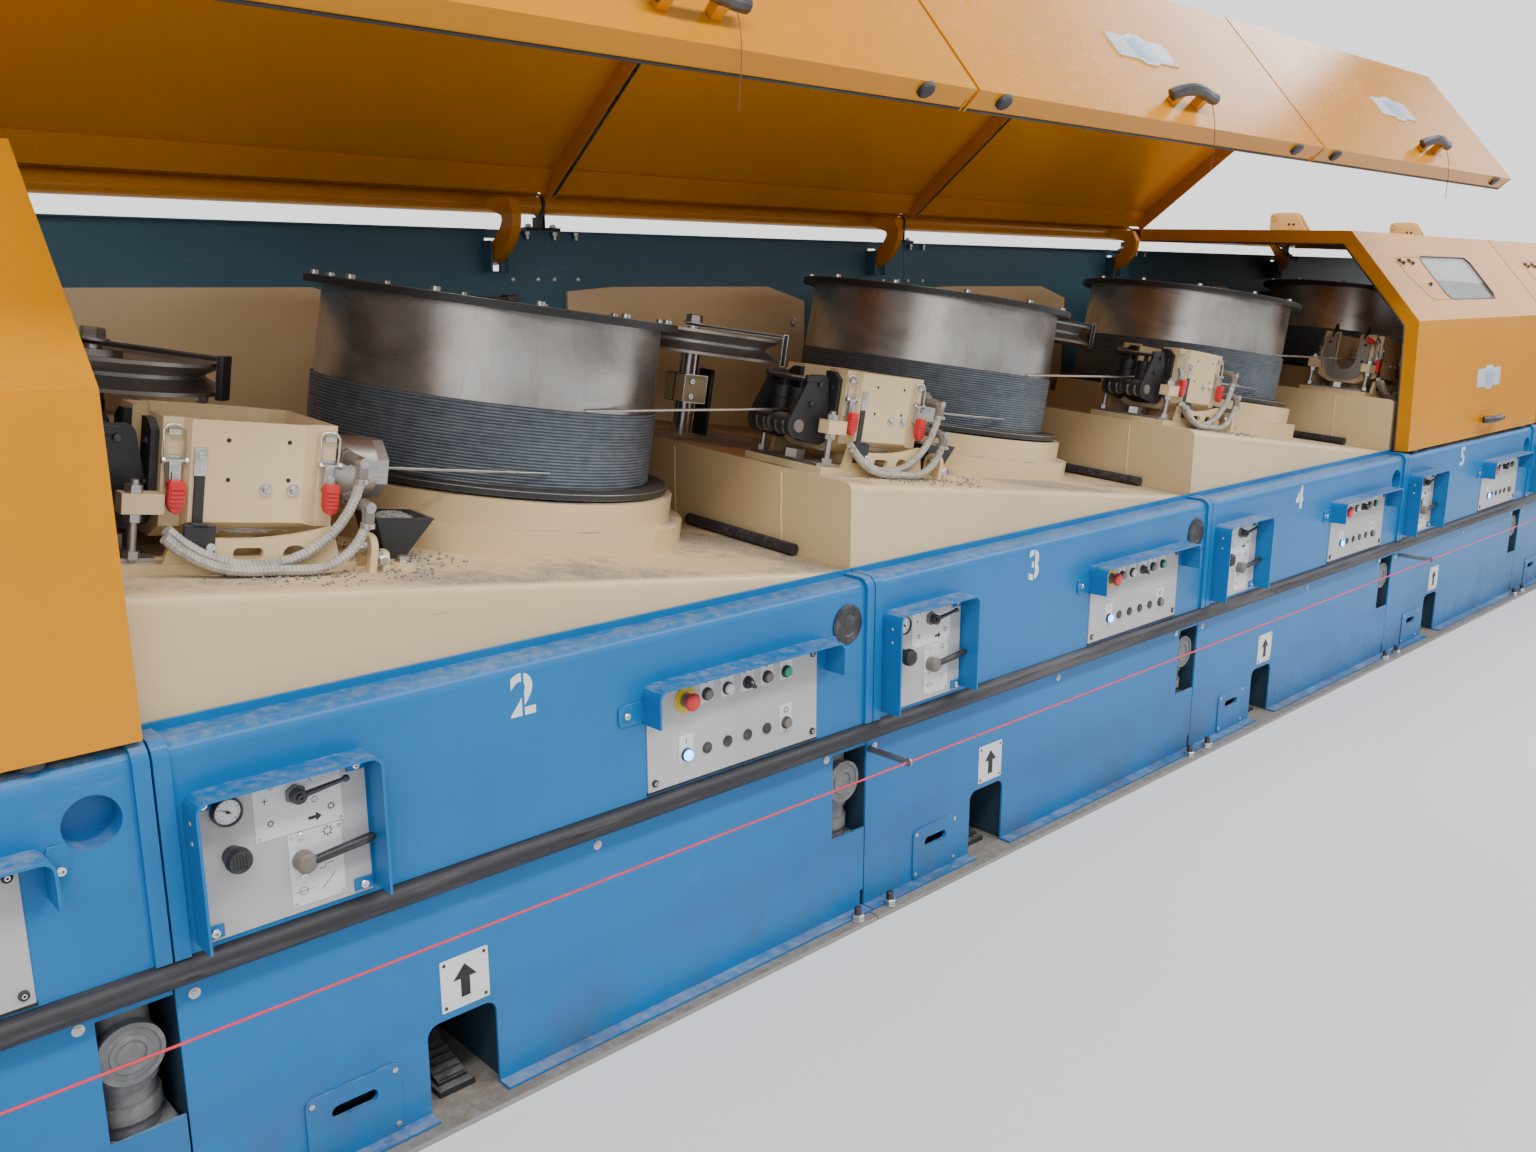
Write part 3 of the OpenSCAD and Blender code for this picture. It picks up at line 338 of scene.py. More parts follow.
def wound_wire(k):
    """Drum k's wire with its grey soap coat; its tone changes from turn to turn, and painted shade darkens the
    grooves between turns.
    """
    f = Finish(f"wound_wire_{k + 1}", (0.15, 0.18, 0.22), 0.42, 0.45)
    coat = f.noise(28, 5, 0.7)
    tone = f.mix(coat.between(0.30, 0.75), (0.125, 0.150, 0.185), (0.200, 0.232, 0.275))
    centre = drum_centre(k)
    turns = f.placed((0.25, 0.25, 1), centre, (BED_TIP, BED_SIDE, 0.0))
    layer = f.noise(85, 2, 0.5, turns)
    height = f.axis("Z", turns)
    # Painted shade: dark bands in the grooves where neighbouring turns meet.
    gap = f.node("ShaderNodeMath", {"operation": "PINGPONG"}, {0: height - COIL_LOW, 1: WIRE_R * 1.05})
    shade = 1.0 - gap.between(0.0, 0.0016)
    tone = f.mix(layer.between(0.35, 0.7) * 0.5, tone, (0.235, 0.265, 0.305))
    tone = f.mix(shade * 0.75, tone, (0.035, 0.042, 0.055))
    f.set("Base Color", tone)
    f.set("Roughness", 0.40 + coat * 0.18)
    f.bump(coat, 0.06, 0.0004)
    return f.material


def soap_powder(name, colour, speck):
    f = Finish(name, colour, 0.9)
    grain = f.cells(420)
    clump = f.noise(60, 5, 0.7)
    f.set("Base Color", f.mix(clump.between(0.4, 0.7) * 0.8, colour, speck))
    f.bump(grain + clump * 2.0, 0.6, 0.003)
    return f.material


def clear_hose(name):
    """Braided clear hose, dulled by soap dust."""
    f = Finish(name, (0.47, 0.44, 0.38), 0.3, 0.0, Coat_Weight=0.4)
    dust = f.noise(22, 5, 0.7).between(0.4, 0.7)
    f.set("Base Color", f.mix(dust, (0.50, 0.47, 0.42), (0.30, 0.27, 0.23)))
    f.set("Roughness", 0.28 + dust * 0.3)
    return f.material


def smoked_glass(name):
    f = Finish(name, (0.30, 0.32, 0.33), 0.12, 0.0, Alpha=0.55)
    haze = f.noise(6, 5, 0.7).between(0.4, 0.75)
    f.set("Base Color", f.mix(haze * 0.6, (0.20, 0.22, 0.23), (0.52, 0.53, 0.52)))
    f.set("Roughness", 0.10 + haze * 0.25)
    return f.material


def lit_lens(name, colour, strength):
    f = Finish(name, colour, 0.25, 0.0, Emission_Color=(*colour, 1.0), Emission_Strength=strength)
    return f.material


BLUE = (0.014, 0.165, 0.430)
CREAM = (0.70, 0.530, 0.295)
AMBER = (0.65, 0.250, 0.0004)

MAKERS = {
    "blue_paint": lambda name: painted(name, BLUE, 0.30, dusty=0.5, grime=0.55, scuffed=0.08,
                                       Specular_IOR_Level=0.3),
    "upper_blue": lambda name: painted(name, BLUE, 0.30, dusty=0.4, scuffed=0.08, chips=(0.20, 0.16, 0.13),
                                       Specular_IOR_Level=0.3),
    "teal_paint": lambda name: painted(name, (0.040, 0.125, 0.185), 0.42, dusty=0.3),
    "frame_paint": lambda name: painted(name, (0.018, 0.045, 0.075), 0.6, dusty=0.7),
    "cream_paint": lambda name: painted(name, CREAM, 0.30, dust=(0.22, 0.20, 0.18), dusty=0.45,
                                        chips=(0.30, 0.24, 0.17)),
    "bed_cream": dusty_bed,
    "amber_paint": lambda name: painted(name, AMBER, 0.17, dust=(0.55, 0.36, 0.12), dusty=0.06, peel=0.03,
                                        scuffed=0.05, cloudy=0.05, Specular_IOR_Level=0.28),
    "holder_grey": lambda name: bare_steel(name, (0.50, 0.48, 0.46), 0.36, (0.26, 0.22, 0.18), 0.2),
    "floor_steel": lambda name: painted(name, (0.27, 0.255, 0.235), 0.55, dust=(0.16, 0.13, 0.10), dusty=0.8),
    "black_rubber": rubbed_rubber,
    "steel": lambda name: bare_steel(name, (0.46, 0.44, 0.42)),
    "zinc": lambda name: bare_steel(name, (0.62, 0.61, 0.59), 0.28, stained=0.12),
    "chrome": lambda name: bare_steel(name, (0.78, 0.78, 0.78), 0.10, stained=0.05),
    "dark_steel": lambda name: bare_steel(name, (0.10, 0.098, 0.10), 0.42, stained=0.2),
    "black_steel": lambda name: painted(name, (0.022, 0.022, 0.025), 0.42, dusty=0.35),
    "grey_plate": lambda name: painted(name, (0.50, 0.485, 0.475), 0.42, dust=(0.36, 0.33, 0.30), dusty=0.1),
    "white_plate": lambda name: painted(name, (0.74, 0.74, 0.74), 0.38, dust=(0.5, 0.48, 0.45), dusty=0.1),
    "grey_pipe": lambda name: moulded(name, (0.135, 0.14, 0.145), 0.5, dusty=0.5),
    "black_plastic": lambda name: moulded(name, (0.024, 0.024, 0.027), 0.38),
    "grey_plastic": lambda name: moulded(name, (0.17, 0.145, 0.125), 0.4, dusty=0.15),
    # Black print ink; the same finish is also painted shade in holes and slits and under the panel plates.
    "ink_and_painted_shade": lambda name: moulded(name, (0.012, 0.012, 0.014), 0.5, dusty=0.05),
    "number_paint": lambda name: painted(name, (0.80, 0.82, 0.84), 0.4, dusty=0.05),
    "red_grip": lambda name: moulded(name, (0.58, 0.018, 0.022), 0.33, dusty=0.08),
    "red_cord": lambda name: moulded(name, (0.72, 0.03, 0.07), 0.35, dusty=0.05),
    "yellow_disc": lambda name: moulded(name, (0.72, 0.50, 0.015), 0.4, dusty=0.1),
    "white_button": lambda name: moulded(name, (0.74, 0.70, 0.62), 0.3, dusty=0.15),
    "green_button": lambda name: moulded(name, (0.008, 0.30, 0.17), 0.28, dusty=0.05),
    "blue_light": lambda name: lit_lens(name, (0.03, 0.35, 1.0), bpy.context.scene.wire_buttons.glow),
    "clear_hose": clear_hose,
    "soap": lambda name: soap_powder(name, (0.60, 0.57, 0.54), (0.42, 0.39, 0.36)),
    "granules": lambda name: soap_powder(name, (0.20, 0.18, 0.165), (0.42, 0.39, 0.36)),
    "smoked_glass": smoked_glass,
    "badge": lambda name: painted(name, (0.56, 0.60, 0.66), 0.32, dusty=0.05),
    "badge_field": lambda name: painted(name, (0.33, 0.45, 0.62), 0.32, dusty=0.05),
    "flange_black": lambda name: painted(name, (0.026, 0.025, 0.026), 0.36, dust=(0.10, 0.095, 0.09), dusty=0.7,
                                         chips=(0.30, 0.29, 0.28)),
    "bracket": lambda name: painted(name, (0.72, 0.43, 0.15), 0.34, dusty=0.25),
    "panel_line": lambda name: moulded(name, (0.30, 0.11, 0.01), 0.5, dusty=0.05),
    "string": lambda name: moulded(name, (0.11, 0.035, 0.03), 0.6, dusty=0.05),
}
MADE = {}


def finish(name):
    """A finish by name, made when it is first asked for."""
    if name not in MADE:
        MADE[name] = MAKERS[name](name)
    return MADE[name]


# modelling

def deselect():
    bpy.ops.object.select_all(action="DESELECT")


def only(piece):
    deselect()
    piece.select_set(True)
    bpy.context.view_layer.objects.active = piece
    return piece


def named(name, material):
    piece = bpy.context.object
    piece.name = piece.data.name = name
    piece.data.materials.clear()
    piece.data.materials.append(finish(material))
    return piece


def applied(piece):
    only(piece)
    bpy.ops.object.transform_apply(location=True, rotation=True, scale=True)
    return piece


def moved(piece, matrix):
    """Puts a finished shape in its place, with the place in its mesh."""
    piece.data.transform(matrix)
    return piece


@contextmanager
def editing():
    """Edit mode, with the whole mesh selected."""
    bpy.ops.object.mode_set(mode="EDIT")
    bpy.ops.mesh.select_all(action="SELECT")
    yield
    bpy.ops.object.mode_set(mode="OBJECT")


def face_outwards():
    bpy.ops.mesh.select_all(action="SELECT")
    bpy.ops.mesh.normals_make_consistent(inside=False)


def block(name, material, low, high, round_by=0.0, steps=2):
    """A box between two corners, with its edges rounded."""
    deselect()
    low, high = Vector(low), Vector(high)
    bpy.ops.mesh.primitive_cube_add(size=1.0, location=(low + high) / 2)
    piece = named(name, material)
    piece.scale = high - low
    applied(piece)
    if round_by:
        with editing():
            bpy.ops.mesh.bevel(offset=round_by, segments=steps, affect="EDGES")
    return piece


def turned(name, material, rings, sides=24):
    """A turned shape: a disc drawn up and resized ring by ring, given as radius and height."""
    deselect()
    radius, height = rings[0]
    bpy.ops.mesh.primitive_circle_add(vertices=sides, radius=radius, fill_type="NGON",
                                      location=(0, 0, height))
    piece = applied(named(name, material))
    with editing():
        for wide, high in rings[1:]:
            bpy.ops.mesh.extrude_region_move(TRANSFORM_OT_translate={"value": (0, 0, high - height)})
            ratio = wide / radius
            bpy.ops.transform.resize(value=(ratio, ratio, 1), center_override=(0, 0, high))
            radius, height = wide, high
        face_outwards()
    return piece


def cut_plate(name, material, outline, low, high, round_by=0.0, steps=2):
    """A plate of any outline, drawn up from low to high and rounded on its upper edge."""
    deselect()
    bpy.ops.mesh.primitive_circle_add(vertices=len(outline), radius=1.0, fill_type="NGON")
    piece = named(name, material)
    for vertex, (x, y) in zip(piece.data.vertices, outline):
        vertex.co = (x, y, low)
    with editing():
        bpy.ops.mesh.extrude_region_move(TRANSFORM_OT_translate={"value": (0, 0, high - low)})
        if round_by:
            bpy.ops.mesh.bevel(offset=round_by, segments=steps, affect="EDGES")
        face_outwards()
    return piece


def bent_rod(name, material, points, radius, sides=8, smooth=False, closed=False):
    """A rod or hose along points, made as a curve and turned into a mesh."""
    deselect()
    bpy.ops.curve.primitive_nurbs_path_add() if smooth else bpy.ops.curve.primitive_bezier_curve_add()
    curve = bpy.context.object
    curve.data.splines.clear()
    spline = curve.data.splines.new("NURBS" if smooth else "POLY")
    spline.points.add(len(points) - 1)
    for point, place in zip(spline.points, points):
        point.co = (*place, 1.0)
    spline.use_endpoint_u = True
    spline.use_cyclic_u = closed
    spline.order_u = 4
    spline.resolution_u = 6
    curve.data.dimensions = "3D"
    curve.data.bevel_depth = radius
    curve.data.bevel_resolution = max(0, sides // 4 - 1)
    curve.data.use_fill_caps = not closed
    bpy.ops.object.convert(target="MESH")
    return named(name, material)


def joined(name, parts):
    """Joins parts into one piece."""
    deselect()
    for part in parts:
        part.select_set(True)
    bpy.context.view_layer.objects.active = parts[0]
    if len(parts) > 1:
        bpy.ops.object.join()
    parts[0].name = parts[0].data.name = name
    return parts[0]


def repeated(name, pattern, places):
    """Copies a pattern to many places and joins the copies; the pattern goes."""
    copies = []
    for place in places:
        copy = bpy.data.objects.new(name, pattern.data.copy())
        bpy.context.scene.collection.objects.link(copy)
        copies.append(moved(copy, place))
    bpy.data.objects.remove(pattern)
    return joined(name, copies)


def softened(piece, angle=35):
    only(piece)
    bpy.ops.object.shade_smooth_by_angle(angle=math.radians(angle))
    return piece


def seated(piece, body="machine", replaces=()):
    softened(piece)
    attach(piece, body)
    if replaces:
        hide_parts(*replaces)
    return piece


def socket_screw(name="screw", material="zinc", head=0.008, high=0.006):
    """A cap screw with its socket."""
    return turned(name, material, [(head, 0), (head, high * 0.85), (head * 0.88, high), (head * 0.52, high),
                                   (head * 0.48, high * 0.35)], 18)


def hex_bolt(name="bolt", material="zinc", across=0.012, high=0.010, washer=0.016):
    """A hexagon head on its washer."""
    plate = turned(name, material, [(washer, 0), (washer, 0.0025), (washer * 0.9, 0.003)], 24)
    head = turned(name, material, [(across, 0.002), (across, high), (across * 0.8, high + 0.0015)], 6)
    return joined(name, [plate, head])


def spun(name, material, section, sides=72):
    """A ring: a closed section, given as radius and height, spun round the axis."""
    deselect()
    bpy.ops.mesh.primitive_circle_add(vertices=len(section), radius=1.0, fill_type="NOTHING")
    piece = named(name, material)
    for vertex, (radius, height) in zip(piece.data.vertices, section):
        vertex.co = (radius, 0, height)
    with editing():
        bpy.ops.mesh.spin(steps=sides, angle=2 * math.pi, center=(0, 0, 0), axis=(0, 0, 1))
        bpy.ops.mesh.select_all(action="SELECT")
        bpy.ops.mesh.remove_doubles(threshold=0.00001)
        face_outwards()
    return piece


def ball(name, material, radius, squash=1.0, rows=6, sides=12):
    """A ball or a dome, turned from a small foot."""
    rings = []
    for row in range(rows + 1):
        angle = math.radians(-80 + 160 * row / rows)
        rings.append((radius * math.cos(angle), radius * squash * math.sin(angle)))
    return turned(name, material, rings, sides)


def glyph(name, text, height, material, deep=0.0008, bold=0.0):
    """A figure or letter as a thin raised shape, centred on its place."""
    deselect()
    bpy.ops.object.text_add()
    words = bpy.context.object.data
    words.body = text
    words.size = height / 0.7
    words.align_x, words.align_y = "CENTER", "CENTER"
    words.extrude = deep / 2
    words.offset = bold
    words.resolution_u = 3
    bpy.ops.object.convert(target="MESH")
    return named(name, material)


def stencilled(name, text, height, break_width):
    """A figure sprayed through a stencil: its two halves, with the stencil's bridge between."""
    halves = []
    for side in (-1, 1):
        half = glyph(name, text, height * 0.94, "number_paint", 0.0006, height * 0.03)
        with editing():
            bpy.ops.mesh.bisect(plane_co=(side * break_width / 2, 0, 0), plane_no=(side, 0, 0), use_fill=True,
                                clear_inner=True)
        halves.append(half)
    return joined(name, halves)


def mound(name, material, size, rough, seed):
    """A heap of powder: a squashed ball, cut off level and roughened."""
    deselect()
    bpy.ops.mesh.primitive_ico_sphere_add(subdivisions=5, radius=1.0)
    piece = named(name, material)
    piece.scale = size
    applied(piece)
    with editing():
        bpy.ops.mesh.bisect(plane_co=(0, 0, 0), plane_no=(0, 0, 1), use_fill=True, clear_inner=True)
        bpy.ops.mesh.select_all(action="SELECT")
        bpy.ops.transform.vertex_random(offset=rough, uniform=1.0, normal=0.0, seed=seed)
    return piece


def circle_points(radius, count, centre=(0, 0), height=0.0, start=0.0, sweep=2 * math.pi):
    """Points round a circle, or along a part of it."""
    steps = count if abs(sweep) > 6.2 else count - 1
    return [(centre[0] + radius * math.cos(start + sweep * i / steps),
             centre[1] + radius * math.sin(start + sweep * i / steps), height) for i in range(count)]


def line_mark(points, thick=0.0016, material="ink_and_painted_shade", closed=False):
    """A printed line, slightly proud of its plate."""
    return bent_rod("mark", material, points, thick / 2, 4, closed=closed)


def ring_mark(radius, centre=(0, 0), thick=0.0014, material="ink_and_painted_shade"):
    return line_mark(circle_points(radius, 14, centre), thick, material, closed=True)


def beside(path, distance):
    """A path of y and z moved inwards, with its corners kept."""
    moved_path = []
    for i, (y, z) in enumerate(path):
        sides = []
        for a, b in ((i - 1, i), (i, i + 1)):
            if a >= 0 and b < len(path):
                dy, dz = path[b][0] - path[a][0], path[b][1] - path[a][1]
                length = math.hypot(dy, dz)
                sides.append((dz / length, -dy / length))
        ny, nz = sum(s[0] for s in sides) / len(sides), sum(s[1] for s in sides) / len(sides)
        reach = distance / (ny * ny + nz * nz)
        moved_path.append((y + ny * reach, z + nz * reach))
    return moved_path


def along(points, step):
    """Frames set evenly along points, with z along the way."""
    frames, left = [], step / 2
    for a, b in zip(points, points[1:]):
        a, b = Vector(a), Vector(b)
        way, length = (b - a).normalized(), (b - a).length
        while left < length:
            frames.append(Matrix.Translation(a + way * left) @
                          way.to_track_quat("Z", "Y").to_matrix().to_4x4())
            left += step
        left -= length
    return frames


def turn(angle, axis):
    return Matrix.Rotation(math.radians(angle), 4, axis)


def shift(x, y, z=0.0):
    return Matrix.Translation((x, y, z))


def on_die(k, u, v, w):
    """A frame on block k's die box: u along the wire, v back and w up from the bed."""
    return on_bed(k, *DIE) @ shift(u, v, w)


def on_wall(k, x, z, out=0.0):
    """A frame on the back wall's inner side, z towards the operator."""
    return shift(seam(k) + x, FRONT + DEPTH - out, z) @ turn(90, "X")


def on_closed(k, x, y, z):
    """A frame at a closed hood's place, carried up with the hood where it stands open."""
    return on_hood(k) @ on_floor(k, x, y, z)


def every(place):
    """One place in each block."""
    return [place(k) for k in range(UNITS)]


def fronts(spots, out=PLATE):
    """The same places on every block's front."""
    return [on_front(k, x, z, out) for k in range(UNITS) for x, z in spots]


def dies(blocks=range(UNITS)):
    """The corners of the die boxes, from which their own pieces are placed."""
    return [on_die(k, 0, 0, 0) for k in blocks]


def fixed(name, pattern, places, replaces=()):
    """Sets a pattern out on the fixed machine."""
    return seated(repeated(name, pattern, places), "machine", replaces)


def carried(name, pattern, places, body, units=range(UNITS)):
    """Sets a pattern out on each block's own moving body; the pattern goes."""
    for k in units:
        copy = bpy.data.objects.new(name, pattern.data.copy())
        bpy.context.scene.collection.objects.link(copy)
        seated(repeated(f"{name}_{k + 1}", copy, places(k)), f"{body}_{k + 1}")
    bpy.data.objects.remove(pattern)


# sizes a user may change

class LineSettings(bpy.types.PropertyGroup):
    lens: bpy.props.FloatProperty(name="Lens", description="Focal length of the view", default=29.65, min=18,
                                  max=80)
    lamp: bpy.props.FloatProperty(name="Lamp power", description="Strength of the studio lamps", default=1.0,
                                  min=0.1, max=4.0)
    granules: bpy.props.IntProperty(name="Granules", description="Soap granules spilt on each bed",
                                    default=440, min=0, max=1000)
    seed: bpy.props.IntProperty(name="Seed", description="Start of the scatter", default=7, min=1, max=999)


# operators

NODE_FINISH = {
    "base_plates": "floor_steel", "inner_frames": "frame_paint", "lower_panels": "blue_paint",
    "upper_housings": "upper_blue", "end_panels": "blue_paint", "rear_panels": "blue_paint",
    "back_wall": "teal_paint", "cream_beds": "bed_cream", "back_plates": "cream_paint",
    "pedestals": "bed_cream", "bumper_rail": "black_rubber", "pull_cord": "red_cord", "cord_rods": "steel",
    "drain_pipes": "grey_pipe", "foot_pedals": "black_steel", "arrow_plates": "white_plate",
    "panel_plates": "grey_plate", "panel_shrouds": "blue_paint", "lever_controls": "black_plastic",
    "push_buttons": "black_plastic", "die_boxes": "cream_paint", "die_cradles": "cream_paint",
    "die_holders": "holder_grey", "roller_cassettes": "black_steel", "toggle_latches": "zinc",
    "cooling_hoses": "clear_hose", "chip_trays": "black_steel", "pulley_posts": "chrome",
    "hinge_bearings": "black_steel", "drawn_wire": "zinc",
}


class WIRELINE_OT_paint_frame(bpy.types.Operator):
    """Give every piece of the frame its finish"""
    bl_idname = "wireline.paint_frame"
    bl_label = "Paint the frame"

    def execute(self, context):
        for node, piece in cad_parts.items():
            kind, _, number = node.rpartition("_")
            if node in NODE_FINISH:
                material = finish(NODE_FINISH[node])
            elif kind == "drum":
                material = drum_steel(int(number) - 1)
            elif kind == "coil":
                material = wound_wire(int(number) - 1)
            else:
                material = finish({"hood": "amber_paint", "window": "smoked_glass", "pulley": "steel"}[kind])
            piece.data.materials.clear()
            piece.data.materials.append(material)
        return {"FINISHED"}


class ButtonSettings(bpy.types.PropertyGroup):
    glow: bpy.props.FloatProperty(name="Lamp glow", description="Strength of the lit blue button",
                                  default=9.0, min=0.0, max=40.0)
    legend: bpy.props.FloatProperty(name="Legend height",
                                    description="Height of the figures above the buttons", default=0.015,
                                    min=0.008, max=0.022, unit="LENGTH")


class WIRELINE_OT_push_buttons(bpy.types.Operator):
    """Fit the stop buttons, push buttons, plugs and their legends"""
    bl_idname = "wireline.push_buttons"
    bl_label = "Push buttons"

    def execute(self, context):
        tall = context.scene.wire_buttons.legend
        head = [(0.012, 0.020), (0.0190, 0.0212), (0.0203, 0.025), (0.0200, 0.029), (0.0165, 0.0325),
                (0.008, 0.034)]
        cap = [(0.0118, 0.004), (0.0118, 0.0120), (0.0108, 0.0134), (0.006, 0.0138)]
        bezel = [(0.0148, 0), (0.0148, 0.0065), (0.0138, 0.008), (0.0123, 0.008), (0.012, 0.004)]
        for name, material, rings, slots, row in (
            ("stop_discs", "yellow_disc", [(0.030, 0), (0.030, 0.0022), (0.029, 0.003)], (0,), TOP_ROW),
            ("stop_stems", "grey_plastic", [(0.0165, 0.003), (0.0165, 0.009), (0.013, 0.010), (0.012, 0.022)],
             (0,),
             TOP_ROW),
            ("stop_heads", "red_grip", head, (0,), TOP_ROW),
            ("top_bezels", "black_plastic", bezel, (1, 2, 3, 4, 5), TOP_ROW),
            ("low_bezels", "black_plastic", bezel, (0, 5), LOW_ROW),
            ("off_caps", "grey_plastic", cap, (1, 4), TOP_ROW),
            ("on_caps", "white_button", cap, (2,), TOP_ROW),
            ("green_caps", "green_button", cap, (5,), TOP_ROW),
            ("set_caps", "grey_plastic", cap, (5,), LOW_ROW),
            ("selector_caps", "black_plastic", cap[:2], (3,), TOP_ROW),
            ("lit_caps", "blue_light", cap, (0,), LOW_ROW),
            ("plugs", "black_plastic", [(0.0132, 0), (0.0130, 0.0030), (0.0105, 0.0042), (0.005, 0.0036)],
             (1, 2, 3, 4),
             LOW_ROW),
        ):
            fixed(name, turned(name, material, rings), in_row(slots, row), ("push_buttons",))
        grip = block("selector_grip", "black_plastic", (-0.0042, -0.0145, 0.010), (0.0042, 0.0145, 0.024),
                     0.002)
        line = block("selector_line", "number_paint", (-0.0008, 0.002, 0.0236), (0.0008, 0.012, 0.0244),
                     0.0002, 1)
        fixed("selector_grips", joined("selector_grip", [grip, line]), [p @ turn(40, "Z") for p in
              in_row((3,), TOP_ROW)], ("push_buttons",))
        plate = block("legend", "white_plate", (-0.020, -0.019, 0), (0.020, 0.045, 0.0011), 0.0005, 1)
        fixed("legends", plate, in_row((1, 2, 3, 4, 5), TOP_ROW) + in_row((0, 5), LOW_ROW))
        for slot, row, text in ((1, TOP_ROW, "0"), (2, TOP_ROW, "I"), (0, LOW_ROW, "I")):
            fixed("figure", glyph("figure", text, tall, "ink_and_painted_shade"), in_row((slot,), row, 0.0042, 0.0305))
        dots = [moved(turned("dot", "ink_and_painted_shade", [(0.0028, 0), (0.0026, 0.0007)], 12), shift(x, y)) for x, y in
                ((-0.010, 0.027), (0, 0.031), (0.010, 0.027))]
        fixed("selector_dots", joined("dots", dots), in_row((3,), TOP_ROW, 0.0041))
        dots = [moved(turned("dot", "ink_and_painted_shade", [(0.003, 0), (0.0028, 0.0007)], 12), shift(x, 0.031)) for x in
                (-0.006, 0.006)]
        fixed("jog_dots", joined("dots", dots), in_row((5,), TOP_ROW, 0.0041))
        arrow = cut_plate("arrow", "ink_and_painted_shade", ((0, -0.008), (0.008, 0.002), (0.003, 0.002), (0.003, 0.009),
                                           (-0.003, 0.009), (-0.003, 0.002), (-0.008, 0.002)), 0, 0.0007)
        fixed("down_arrows", arrow, in_row((4,), TOP_ROW, 0.0041, 0.031))
        fixed("gear_marks", gear_mark(0.008), in_row((5,), LOW_ROW, 0.0041, 0.031))
        return {"FINISHED"}


def in_row(slots, z, out=PLATE, up=0.0):
    """Places in a row of push buttons, in every block."""
    return [on_front(k, BUTTON_X + i * BUTTON_STEP, z + up, out) for k in range(UNITS) for i in slots]


def gear_mark(radius):
    """A printed gear wheel: a ring with teeth."""
    marks = [ring_mark(radius * 0.62, thick=0.0016)]
    for i in range(8):
        x, y, _ = circle_points(1.0, 8)[i]
        marks.append(line_mark([(x * radius * 0.7, y * radius * 0.7, 0), (x * radius, y * radius, 0)],
                               0.0022))
    return joined("gear_mark", marks)


